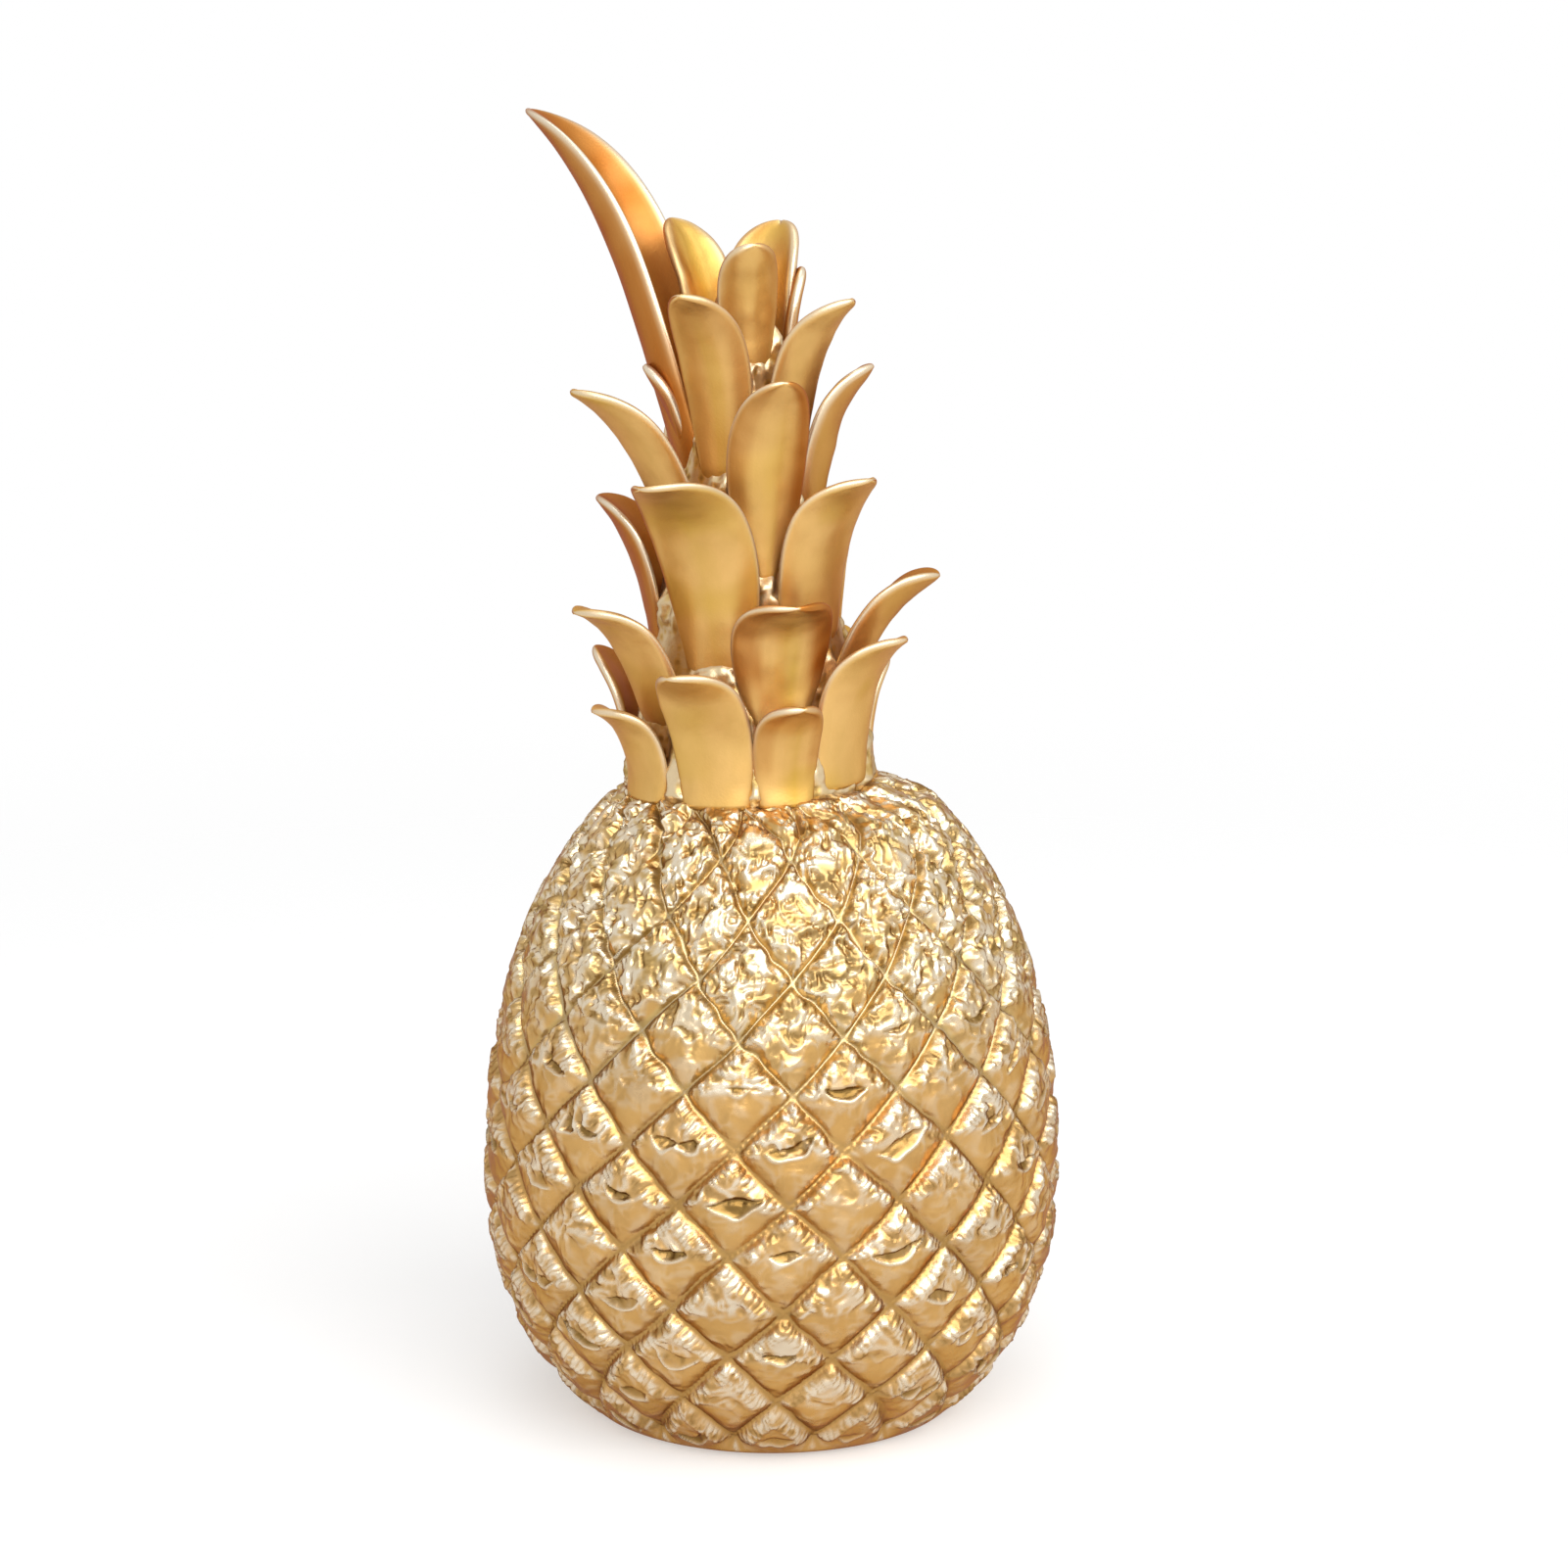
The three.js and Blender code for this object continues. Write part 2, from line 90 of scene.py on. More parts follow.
# Crown seat and stalk
CROWN_OFFSET = -3.2
CROWN_LEAN = 1.4
SEAT_RIM_RADIUS = 19.9
CROWN_HEIGHT = 90.0
STALK_HEIGHT = 0.867 * CROWN_HEIGHT
STALK_FOOT_RADIUS = 19.3
STALK_TAPER = np.array([
    [0, 1], [0.18, 0.9], [0.35, 0.77], [0.54, 0.62], [0.72, 0.48], [0.9, 0.34], [1, 0.2],
])
STALK_RINGS = 220
STALK_COLUMNS = 260

# Leaves
LEAF_THICKNESS = 2.0
LEAF_WIDTH = 14.0
LEAF_SINK = 1.6
LEAF_ROOT = 4.2
ROOT_TIP_SHARE = 0.6
ROOT_DEPTH = 1.3
CURL_POWER = 2.2
SIDE_POWER = 1.6
TIP_ROUNDNESS = 1.9
RIM_ROUNDNESS = 5.0
TIP_THINNING = 10.0
FOOT_FLARE = 1.0
FOOT_FLARE_REACH = 2.6
LEAF_RINGS = 56
ROOT_RINGS = 10
LEAF_ACROSS = 22
SPINE_POINTS = 1801
RING_POWER = 1.5
COLUMN_POWER = 0.8
COMMON_LEAF = dict(side=0, root=0.8, wide=0.6, blunt=0.6, cup=1.1, keel=0, curl_ease=1)

# azimuth, foot, length, width, lean, curl, and what differs from COMMON_LEAF, as in the part, but for
# tier6_leaf_right, which is flatter and leans out more here, so that the leaf beside it stays behind it
LEAVES = {
    "tier1_leaf_left": (-62, 0, 0.205, 1.05, 8, 83, dict(side=-10)),
    "tier1_leaf_front_left": (-17, 0, 0.3, 1, 4, 78, dict(side=-22)),
    "tier1_leaf_front_right": (17, 0, 0.22, 0.8, 2, 80, dict(side=8)),
    "tier1_leaf_right": (55, 0.02, 0.31, 1.12, 2, 75, dict(side=10)),
    "tier1_leaf_far_right": (103, 0, 0.23, 0.93, 0, 42, {}),
    "tier1_leaf_back_right": (146, 0, 0.28, 1, 3, 75, dict(side=8)),
    "tier1_leaf_back_left": (-166, 0, 0.26, 0.93, 3, 80, {}),
    "tier1_leaf_far_left": (-108, 0, 0.262, 0.86, 6, 50, {}),
    "tier2_leaf_left": (-56, 0.144, 0.278, 1.1, 18, 86, dict(side=-5, cup=1.5)),
    "tier2_leaf_front": (17, 0.14, 0.27, 1.2, 5, 80, dict(root=0.5, blunt=0.55)),
    "tier2_leaf_right": (76, 0.18, 0.27, 1, 26, 71, dict(keel=0.25, cup=1.6)),
    "tier2_leaf_back_right": (156, 0.15, 0.24, 1, 8, 66, {}),
    "tier2_leaf_back_left": (-146, 0.14, 0.27, 1.05, 7, 70, {}),
    "tier3_leaf_front_left": (-18, 0.24, 0.42, 1.25, 4, 84, dict(side=-25, root=0.6)),
    "tier3_leaf_front_right": (47, 0.29, 0.32, 1.16, 6, 68, dict(side=7)),
    "tier3_leaf_left": (-98, 0.27, 0.275, 1.3, 9, 50, dict(keel=0.1)),
    "tier3_leaf_back": (-178, 0.27, 0.32, 1.1, 6, 76, dict(root=0.6)),
    "tier3_leaf_far_right": (112, 0.3, 0.24, 0.9, 5, 38, {}),
    "tier4_leaf_front": (15, 0.4, 0.37, 0.96, 4, 50, dict(side=6, root=0.45, blunt=0.5)),
    "tier4_leaf_left": (-57, 0.45, 0.36, 1.05, 21, 72, dict(side=-4, cup=1.5)),
    "tier4_leaf_right": (78, 0.46, 0.315, 0.9, 8, 49, dict(keel=0.2, cup=1.4)),
    "tier4_leaf_back_left": (-150, 0.42, 0.25, 1, 6, 48, {}),
    "tier4_leaf_back_right": (160, 0.44, 0.27, 0.93, 6, 60, {}),
    "tier5_leaf_front_left": (-20, 0.58, 0.35, 0.88, 4, 62, dict(side=-10, root=0.6)),
    "tier5_leaf_front_right": (52, 0.58, 0.34, 0.86, 8, 68, {}),
    "tier5_leaf_back": (172, 0.58, 0.3, 0.86, 6, 60, {}),
    "tier5_leaf_left": (-86, 0.6, 0.17, 0.6, 16, 42, {}),
    "tier6_leaf_front": (14, 0.76, 0.22, 0.74, 2, 44, dict(root=0.65, blunt=0.5)),
    "tier6_leaf_right": (102, 0.72, 0.2, 0.6, 6, 22, dict(cup=2)),
    "tier6_leaf_back_right": (144, 0.72, 0.28, 1.1, 4, 28, dict(blunt=0.5)),
    "tier6_leaf_back_left": (-132, 0.74, 0.28, 0.9, 6, 46, dict(cup=1.3)),
    "top_leaf": (-111, 0.569, 0.722, 1.545, 16, 57, dict(
        side=-14.6, root=0.98, wide=0.5, blunt=0.52, cup=0.78, curl_ease=1.24)),
}

# What each leaf has besides: keel, height of a ridge down the middle; dent, depth of a notch in the tip;
# short, how far the tip is drawn back; waves, height of the unevenness; deep and inner, how far the outer
# and the inner face go to reddish painted shade; band and left, the same along the right and the left
# edge; edge, 1 or -1 for the edge that has a reddish line of painted reflection; rim, width of the pale
# rim, partly burnish and partly painted highlight; mottle, strength of the yellow patches; streak,
# strength of the yellow beside the keel; taper, how much narrower the foot is
PLAIN_LEAF = dict(
    keel=0, dent=0, short=0, waves=0.5, deep=0.0, inner=0.0, band=0.0, left=0.0, edge=0, rim=0.3,
    mottle=0.6, streak=0, taper=0)
LEAF_FORMS = {
    "tier1_leaf_left": dict(edge=-1),
    "tier1_leaf_right": dict(edge=1),
    "tier1_leaf_front_right": dict(
        keel=0.25, dent=0.3, waves=0.6, deep=0.1, band=0.5, left=0.5, streak=0.5),
    "tier1_leaf_far_left": dict(deep=0.7, inner=0.8),
    "tier2_leaf_front": dict(
        keel=0.45, dent=0.4, waves=0.8, band=1.0, left=0.8, mottle=0.3, streak=0.8),
    "tier2_leaf_left": dict(edge=-1),
    "tier2_leaf_right": dict(deep=0.3, inner=0.6, edge=1),
    "tier2_leaf_back_left": dict(deep=0.6, inner=0.8),
    "tier3_leaf_left": dict(deep=0.95, inner=0.9, rim=0.45, mottle=0.2),
    "tier3_leaf_front_left": dict(edge=-1, streak=0.4),
    "tier3_leaf_front_right": dict(edge=1),
    "tier4_leaf_front": dict(
        keel=0.25, dent=0.3, waves=0.6, band=1.0, left=0.5, mottle=0.3, streak=0.5, taper=0.45),
    "tier4_leaf_left": dict(edge=-1),
    "tier4_leaf_right": dict(deep=0.5, inner=0.95, edge=1, rim=0.7),
    "tier5_leaf_left": dict(deep=1.0, inner=1.0, rim=0.5),
    "tier5_leaf_front_left": dict(band=0.3, edge=-1, streak=0.8),
    "tier5_leaf_front_right": dict(edge=1),
    "tier6_leaf_front": dict(keel=0.3, dent=0.2, waves=1.0, band=0.6, left=0.2, rim=0.7),
    "tier6_leaf_right": dict(keel=0.3, waves=0.1, deep=0.9, inner=0.9),
    "tier6_leaf_back_right": dict(dent=0.8, waves=0.3, band=0.5, rim=1.2),
    "tier6_leaf_back_left": dict(keel=0.3, waves=1.4, band=0.5, rim=1.2, streak=1.0),
    "top_leaf": dict(short=0.5, waves=0.1, deep=1.0, inner=1.0, rim=0.9, mottle=0),
}
KEEL_WIDTH = 0.16
DENT_WIDTH = 0.35
ROLL_HEIGHT = 0.1
ROLL_WIDTH = 0.4
ROLL_PLACE = 0.6
STREAK_PLACE = 0.12
STREAK_WIDTH = 0.16

# Noise: how wide its lumps are, and a shift that keeps each use of it apart from the others
WANDER = (11.0, 2.0)
WANDER_UP = (9.0, 6.0)
SHIVER = (2.4, 8.0)
LUMP = (2.7, 1.0)
LUMP_SMALL = (1.4, 5.0)
SWIRLS = ((3.2, 17.0), (3.2, 21.0), (3.2, 25.0))
FOLD = (2.8, 9.0)
FOLD_SMALL = (1.4, 3.0)
FOLD_FINE = (0.9, 21.0)
STROKE = (2.3, 13.0)
STROKE_SMALL = (1.15, 4.0)
STAIN = (6.5, 23.0)
STAIN_FINE = (1.1, 27.0)
COLLAR_LUMP = (3.2, 11.0)
COLLAR_CREASE = (1.6, 2.0)
RAGGED = (2.6, 9.0)
RAGGED_UP = (3.0, 14.0)
RAGGED_FINE = (1.3, 18.0)
WRINKLE = (2.3, 1.0)
WRINKLE_FINE = (1.1, 6.0)
STALK_LUMP = (2.8, 3.0)
LEAF_WAVE = 6.0
LEAF_RIPPLE = 2.2
LEAF_BEND = 9.0
LEAF_TONE = 5.0
LEAF_MOTTLE = 8.0
LEAF_SHIFT = 7.3

# Forms of one eye, which reaches from -1 to 1 both ways. Heights are shares of EYE_RELIEF
LOOSE_ROWS = (0.5, 3.5)
UPPER_ROWS = (1.5, 4.5)
LOWER_ROWS = (-3.0, -4.6)
PLUMPNESS = 2.5
SHIELD_REACH = 0.8
RIGHT_CREST = 0.42
LEFT_CREST = 0.37
CREST_WIDTH = 0.2
CREST_HEIGHT = 0.06
BODY_HEIGHT = 0.95
TWO_POCKETS_FROM = 0.78
POCKET_RIM_WIDTH = 0.032
POCKET_RIM_HEIGHT = 0.2
RIBS_PER_EDGE = 5.6
RIB_HEIGHT = 0.065
BEADS_PER_EDGE = 5.5
THREAD_HEIGHT = 0.15
THREAD_WIDTH = 0.035

# Pockets of an eye: place to the side and up, slant, half length and half height
SINGLE_POCKET = (0, 0.14, 0, 0.42, 0.19)
RIGHT_POCKET = (0.22, 0.12, 0.2, 0.26, 0.15)
LEFT_POCKET = (-0.24, 0.14, -0.2, 0.24, 0.14)
POCKET_TOP_SHARE = 0.35

# Filler beside and over the foot of a leaf, the bead along the foot, and how ragged both are. Pairs
# give where a form starts and where it is full
FILLER_BESIDE = (3.5, 0.5)
FILLER_BELOW = (-5.0, -1.0)
FILLER_ABOVE = (12.0, 4.0)
BEAD_WIDTH = 1.1
BEAD_BESIDE = 0.6
BEAD_BELOW = 1.2
BEAD_ABOVE = (11.0, 5.0)
RAGGED_SIDEWAYS = 1.6
RAGGED_UPWARDS = 2.4
NARROW_STALK = 6

# Colours and gloss. Edge is the reflected colour towards grazing angles, and burnish the roughness of
# the pale places as a share of the satin round them. Depths are in metres
FRUIT_BRIGHT = (0.58, 0.34, 0.11)
FRUIT_DEEP = (0.51, 0.285, 0.083)
FRUIT_YELLOW = (0.52, 0.36, 0.13)
FRUIT_EDGE = (0.38, 0.14, 0.03)
LEAF_BRIGHT = (0.76, 0.475, 0.165)
LEAF_DEEP = (0.64, 0.39, 0.115)
LEAF_YELLOW = (0.6, 0.375, 0.07)
LEAF_EDGE = (0.42, 0.12, 0.03)
STALK_BRIGHT = (0.72, 0.48, 0.18)
STALK_DEEP = (0.64, 0.42, 0.12)
# Pale gold: partly burnish, partly painted highlight
PALE_GOLD_AND_HIGHLIGHT = (0.73, 0.66, 0.53)
# Painted shade in hollows, with real stains on the fruit
SHADE_AND_STAIN_GOLD = (0.21, 0.117, 0.025)
# Painted reddish shade and painted reflection on the leaves
RED_SHADE_GOLD = (0.4, 0.13, 0.015)
RESIN_LOW = (0.72, 0.66, 0.55)
RESIN_HIGH = (0.8, 0.75, 0.65)
FELT_LOW = (0.02, 0.018, 0.017)
FELT_HIGH = (0.04, 0.036, 0.034)
BURNISH = 0.6
COAT_IOR = 1.9
COAT_ROUGHNESS = 0.3
MOTTLE_SCALE = 90
SATIN_SCALE = 260
GRAIN_SCALE = 2600
GRAIN_DEPTH = 0.00012
PLAIN_DEPTH = 0.0002

# Stage, in metres, watts and degrees, with the camera's lens and sensor in millimetres. A softbox has
# a place, a target, a width, a height and a power
WORLD_LIGHT = 0.4
FLOOR_GREY = 0.6
FLOOR_GLOW = 0.45
FLOOR_EDGE = (0.22, 0.62)
FLOOR_REACH = 0.7
AIM = (0, 0, 0.1)
SOFTBOXES = {
    "softbox_main": ((0.35, -0.9, 1.0), AIM, 2.1, 1.2, 24),
    "softbox_top": ((-0.1, 0.1, 1.2), AIM, 0.5, 0.5, 1.5),
    "softbox_front": ((0.15, -1.25, 0.5), AIM, 2.2, 1.6, 4),
}
CAMERA_PLACE = (0, -0.643, 0.236)
CAMERA_TILT = 78.34
CAMERA_TURN = -0.18
CAMERA_LENS = 93.5
CAMERA_SENSOR = 36

# Random tables. The second holds what each eye has of its own, from 0 to 1
SEED = 7
NOISE_CELLS = 32
EYE_TABLE_ROWS = 64
EYE_CHANCES = ("double", "right_crest", "left_crest", "size", "slant", "place", "depth", "foil")
random = np.random.default_rng(SEED)
noise_table = random.random((NOISE_CELLS, NOISE_CELLS, NOISE_CELLS))
eye_table = random.random((EYE_TABLE_ROWS, EYES_AROUND, len(EYE_CHANCES)))


def smooth_step(low, high, value):
    way = np.clip((value - low) / (high - low), 0, 1)
    return way * way * (3 - 2 * way)


def noise(points, cell, shift=0.0):
    """Smooth noise from 0 to 1 at points in millimetres, with lumps about one cell across."""
    place = points / cell + shift
    base = np.floor(place).astype(int)
    share = place - base
    share = share * share * (3 - 2 * share)
    result = np.zeros(place.shape[:-1])
    for corner in range(8):
        step = np.array([corner & 1, corner >> 1 & 1, corner >> 2 & 1])
        weight = np.prod(np.where(step, share, 1 - share), axis=-1)
        index = (base + step) % NOISE_CELLS
        result += weight * noise_table[index[..., 0], index[..., 1], index[..., 2]]
    return result


def lumps(points, cell, shift=0.0):
    """The same noise, from -0.5 to 0.5."""
    return noise(points, cell, shift) - 0.5


def creases(points, cell, shift=0.0):
    """Noise folded into sharp ridges, from 0 to 1."""
    return 1 - np.abs(2 * noise(points, cell, shift) - 1)


def rim_line(distance, width):
    """A rolled rim: 1 on the line, falling to 0 on both sides."""
    return np.exp(-(distance / width) ** 2)


def plump(share):
    """Rises from 0, steep at first, to level off at 1."""
    return 1 - (1 - np.clip(share, 0, 1)) ** PLUMPNESS


# Meshes

def make_piece(name, points, faces, material, node, shade=None):
    """A piece from points in millimetres that stands for a CAD node. shade holds, for every point, how
    far it is from painted shade and, on the fruit, from stains, how far it is pale, partly burnish and
    partly painted highlight, and how far it goes to yellow, each from 0 to 1."""
    mesh = bpy.data.meshes.new(name)
    mesh.from_pydata((np.asarray(points) * MM).tolist(), [], faces)
    mesh.validate()
    if shade is not None:
        attribute = mesh.color_attributes.new("shade", "FLOAT_COLOR", "POINT")
        values = np.ones((len(mesh.vertices), 4))
        values[:, :3] = np.asarray(shade).reshape(-1, 3)
        attribute.data.foreach_set("color", values.ravel())
    mesh.shade_smooth()
    piece = bpy.data.objects.new(name, mesh)
    bpy.context.scene.collection.objects.link(piece)
    mesh.materials.append(material)
    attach(piece, "root")
    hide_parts(node)
    return piece


def grid_faces(rings, columns):
    """Quads between rings of points that close round an axis."""
    level, column = np.meshgrid(np.arange(rings - 1), np.arange(columns), indexing="ij")
    beside = (column + 1) % columns
    here = level * columns
    above = here + columns
    corners = np.stack([here + column, here + beside, above + beside, above + column], -1)
    return corners.reshape(-1, 4).tolist()


def directions(angle):
    """Level directions from the axis, where angle 0 is the front."""
    return np.stack([np.sin(angle), -np.cos(angle), np.zeros_like(angle)], -1)


def plain_shade(rings, columns):
    """The shade of a surface that has no painted shade, no pale and no yellow."""
    level = np.ones((rings, columns))
    return np.stack([level, 0 * level, 0 * level], -1)


# Fruit

def outline_arc(end, distance, roundness):
    """The fruit's radius by distance from its widest height, which comes down to end at distance."""
    reach = distance / (1 - (end / FRUIT_RADIUS) ** roundness) ** (1 / roundness)

    def radius_at(away):
        return FRUIT_RADIUS * (1 - np.clip(away / reach, 0, 1) ** roundness) ** (1 / roundness)

    return radius_at


upper_arc = outline_arc(FRUIT_TOP_RADIUS, FRUIT_TOP_HEIGHT - FRUIT_WIDEST_HEIGHT, UPPER_ROUNDNESS)
lower_arc = outline_arc(FRUIT_BASE_RADIUS, FRUIT_WIDEST_HEIGHT - BASE_HEIGHT, LOWER_ROUNDNESS)
crown_matrix = np.array(
    Matrix.Translation((CROWN_OFFSET, 0, FRUIT_TOP_HEIGHT))
    @ Matrix.Rotation(math.radians(-CROWN_LEAN), 4, "Y"))


def fruit_radius(height):
    return np.where(
        height > FRUIT_WIDEST_HEIGHT,
        upper_arc(np.maximum(height - FRUIT_WIDEST_HEIGHT, 0)),
        lower_arc(np.maximum(FRUIT_WIDEST_HEIGHT - height, 0)),
    )


def outline_normal(height):
    rise = fruit_radius(height + SLOPE_PROBE) - fruit_radius(height - SLOPE_PROBE)
    slope = rise / (2 * SLOPE_PROBE)
    length = np.hypot(1, slope)
    return 1 / length, -slope / length


def to_world(points):
    """Points from the crown's frame."""
    return points @ crown_matrix[:3, :3].T + crown_matrix[:3, 3]


def crescent(x, y, middle_x, middle_y, slant, half_length, half_height):
    """A pocket like a half moon, deepest under its upper edge: its hollow and its rolled lower rim."""
    along = ((x - middle_x) * np.cos(slant) + (y - middle_y) * np.sin(slant)) / half_length
    across = (y - middle_y) * np.cos(slant) - (x - middle_x) * np.sin(slant)
    arch = np.clip(1 - along ** 2, 0, 1)
    low = -half_height * arch
    high = POCKET_TOP_SHARE * half_height * arch
    way = np.clip((across - low) / (high - low + 1e-3), 0, 1)
    hollow = way ** 0.6 * smooth_step(1.0, 0.72, way) * np.sqrt(arch)
    ends = smooth_step(1.15, 0.9, np.abs(along))
    return hollow, rim_line(across - low + 0.02, POCKET_RIM_WIDTH) * ends


def find_eyes(columns, rows, points):
    """For every point, x and y in its eye, what the eye has of its own, and the noise that forms share."""
    eye = SimpleNamespace()
    eye.wander = lumps(points, *WANDER)
    eye.shiver = lumps(points, *SHIVER)
    eye.loose = smooth_step(*LOOSE_ROWS, rows)
    columns = columns + (0.05 + 0.03 * eye.loose) * eye.wander + (0.02 + 0.025 * eye.loose) * eye.shiver
    rows = rows + 0.1 * lumps(points, *WANDER_UP) + (0.03 + 0.05 * eye.loose) * eye.shiver
    rising = columns - rows / 2
    falling = columns + rows / 2
    rising_eye = np.floor(rising)
    falling_eye = np.floor(falling)
    over_rising = rising - rising_eye - 0.5
    over_falling = falling - falling_eye - 0.5
    eye.x = over_falling + over_rising
    eye.y = over_falling - over_rising
    row_number = (falling_eye - rising_eye).astype(int) % EYE_TABLE_ROWS
    around_number = rising_eye.astype(int) % EYES_AROUND
    chances = np.moveaxis(eye_table[row_number, around_number], -1, 0)
    eye.chance = dict(zip(EYE_CHANCES, chances))
    eye.upper = smooth_step(*UPPER_ROWS, rows)
    eye.lower = smooth_step(*LOWER_ROWS, rows)
    eye.inside = np.clip(1 - np.abs(eye.x) - np.abs(eye.y), 0, 1)
    eye.lump = lumps(points, *LUMP)
    eye.lump_small = lumps(points, *LUMP_SMALL)
    eye.swirl = np.stack([lumps(points, *swirl) for swirl in SWIRLS], -1)
    return eye


def form_body(eye):
    """A plump shield below, and above it two bevels that fall to the upper grooves from a crest."""
    from_right = np.clip(1 - eye.x - eye.y, 0, 2)
    from_left = np.clip(1 + eye.x - eye.y, 0, 2)
    from_low_right = np.clip(1 - eye.x + eye.y, 0, 2)
    from_low_left = np.clip(1 + eye.x + eye.y, 0, 2)
    shield = plump(from_low_right / SHIELD_REACH) * plump(from_low_left / SHIELD_REACH)
    on_right = from_right / (RIGHT_CREST + 0.1 * (eye.chance["right_crest"] - 0.5) + 0.1 * eye.lump)
    on_left = from_left / (LEFT_CREST + 0.12 * (eye.chance["left_crest"] - 0.5) + 0.1 * eye.lump)
    bevel = plump(on_right) * plump(on_left)
    eye.to_crest = np.minimum(on_right, on_left)
    crest = rim_line(eye.to_crest - 1, CREST_WIDTH)
    over = smooth_step(-0.3, 0.25, eye.y)
    level = BODY_HEIGHT - 0.1 * np.clip(eye.y, 0, 1)
    body = shield * bevel * level + CREST_HEIGHT * crest * over * shield
    eye.body = body + 0.05 * eye.lump * shield


def form_pocket(eye, points):
    """A pocket under the crest, on some eyes two; it tilts with the side of the fruit that it lies on."""
    sideways = points[..., 0] / np.hypot(points[..., 0], points[..., 1])
    size = 0.6 + 0.55 * eye.chance["size"]
    warp = 0.1 + 0.17 * eye.upper
    x = eye.x + 2 * warp * eye.swirl[..., 0] + 0.06 * eye.lump_small
    y = eye.y + 2 * warp * eye.swirl[..., 1] + 0.07 * eye.shiver
    slant = 0.45 * sideways + 0.5 * (eye.chance["slant"] - 0.5)
    middle = 0.2 * (eye.chance["place"] - 0.5) - 0.12 * sideways
    pockets = []
    for (side, up, lean, half_length, half_height), place in (
            (SINGLE_POCKET, middle), (RIGHT_POCKET, 0), (LEFT_POCKET, 0)):
        pockets.append(crescent(
            x, y, place + side, up, slant + lean, half_length * size, half_height * size))
    single, right, left = pockets
    double = eye.chance["double"] > TWO_POCKETS_FROM
    hollow = np.where(double, np.maximum(left[0], right[0]), single[0])
    low_rim = np.where(double, np.maximum(left[1], right[1]), single[1])
    opened = smooth_step(0.12, 0.34, eye.chance["size"] + 0.25 * eye.lump)
    eye.hollow = hollow * opened
    eye.pocket = (0.2 + 0.35 * eye.chance["depth"]) * (1 - 0.6 * eye.upper) * eye.hollow
    eye.low_rim = low_rim * (0.3 + 0.7 * opened) * (1 - 0.6 * eye.upper)
    eye.rims = POCKET_RIM_HEIGHT * eye.low_rim * (1 + 1.2 * eye.lump_small)


def form_ribs(eye):
    """Ribs square to the upper grooves on both bevels."""
    to_edge = np.where(eye.x > 0, eye.x - eye.y, eye.x + eye.y) + 0.2 * eye.lump_small
    turn = 2 * math.pi * (to_edge * RIBS_PER_EDGE + eye.chance["foil"])
    rib = 1 - 2 * (0.5 - 0.5 * np.cos(turn)) ** 3
    band = smooth_step(0.02, 0.1, eye.inside) * smooth_step(1.25, 0.95, eye.to_crest)
    band *= smooth_step(-0.05, 0.1, eye.y)
    eye.ribs = rib * band * RIB_HEIGHT * (1 + 2.5 * eye.lump) * (1 - 0.6 * eye.upper)
    eye.gaps = band * smooth_step(0.2, -0.9, rib)


def form_thread(eye):
    """Threads in the grooves: plain in one direction, a beaded rope in the other."""
    turn = 2 * math.pi * ((eye.x + eye.y) * BEADS_PER_EDGE + 0.4 * eye.lump_small)
    bead = 0.5 + 0.5 * np.cos(turn)
    height = np.where((eye.x * eye.y) < 0, 0.1 + 0.12 * bead, THREAD_HEIGHT)
    width = THREAD_WIDTH - 0.01 * eye.loose - 0.007 * eye.upper
    broken = 1 - 0.9 * eye.loose * smooth_step(-0.25, 0.0, eye.wander + 0.8 * eye.lump)
    eye.thread = height * rim_line(eye.inside, width) * broken


def form_foil(eye, points):
    """Creased foil on the bevels, above the pocket and, on the upper rows, nearly all over."""
    swirled = points + 3.0 * eye.swirl
    fold = creases(swirled, *FOLD) - 0.6
    fold_small = creases(swirled, *FOLD_SMALL) - 0.6
    fold_fine = creases(points + 1.5 * eye.swirl, *FOLD_FINE) - 0.6
    eye.stroke = 0.6 * creases(swirled, *STROKE) + 0.4 * creases(swirled, *STROKE_SMALL)
    in_eye = smooth_step(0.03, 0.12, eye.inside)
    on_bevel = smooth_step(1.25, 0.95, eye.to_crest) * smooth_step(-0.12, 0.05, eye.y) * in_eye
    above = smooth_step(-0.08, 0.12, eye.y + 0.15 * eye.lump) * in_eye
    above = above * (0.3 + 0.6 * eye.chance["foil"]) * (1 - 0.75 * eye.lower)
    patch = smooth_step(-0.25 - 0.2 * eye.upper, 0.15 - 0.2 * eye.upper, eye.lump + 0.5 * fold)
    patch = patch * in_eye * (0.2 + 0.8 * eye.upper)
    eye.foil = np.maximum(np.maximum(0.75 * on_bevel, above), patch)
    crumple = fold + (0.6 + 0.6 * eye.upper) * fold_small + (1.2 - 0.4 * eye.upper) * eye.lump
    crumple = crumple + 0.8 * eye.lump_small + (0.4 + 0.6 * eye.upper) * fold_fine
    crumple = crumple * (0.06 + (0.27 + 0.13 * eye.upper) * eye.foil) * in_eye
    eye.crumple = crumple + 0.4 * eye.foil * (eye.stroke - 0.68)


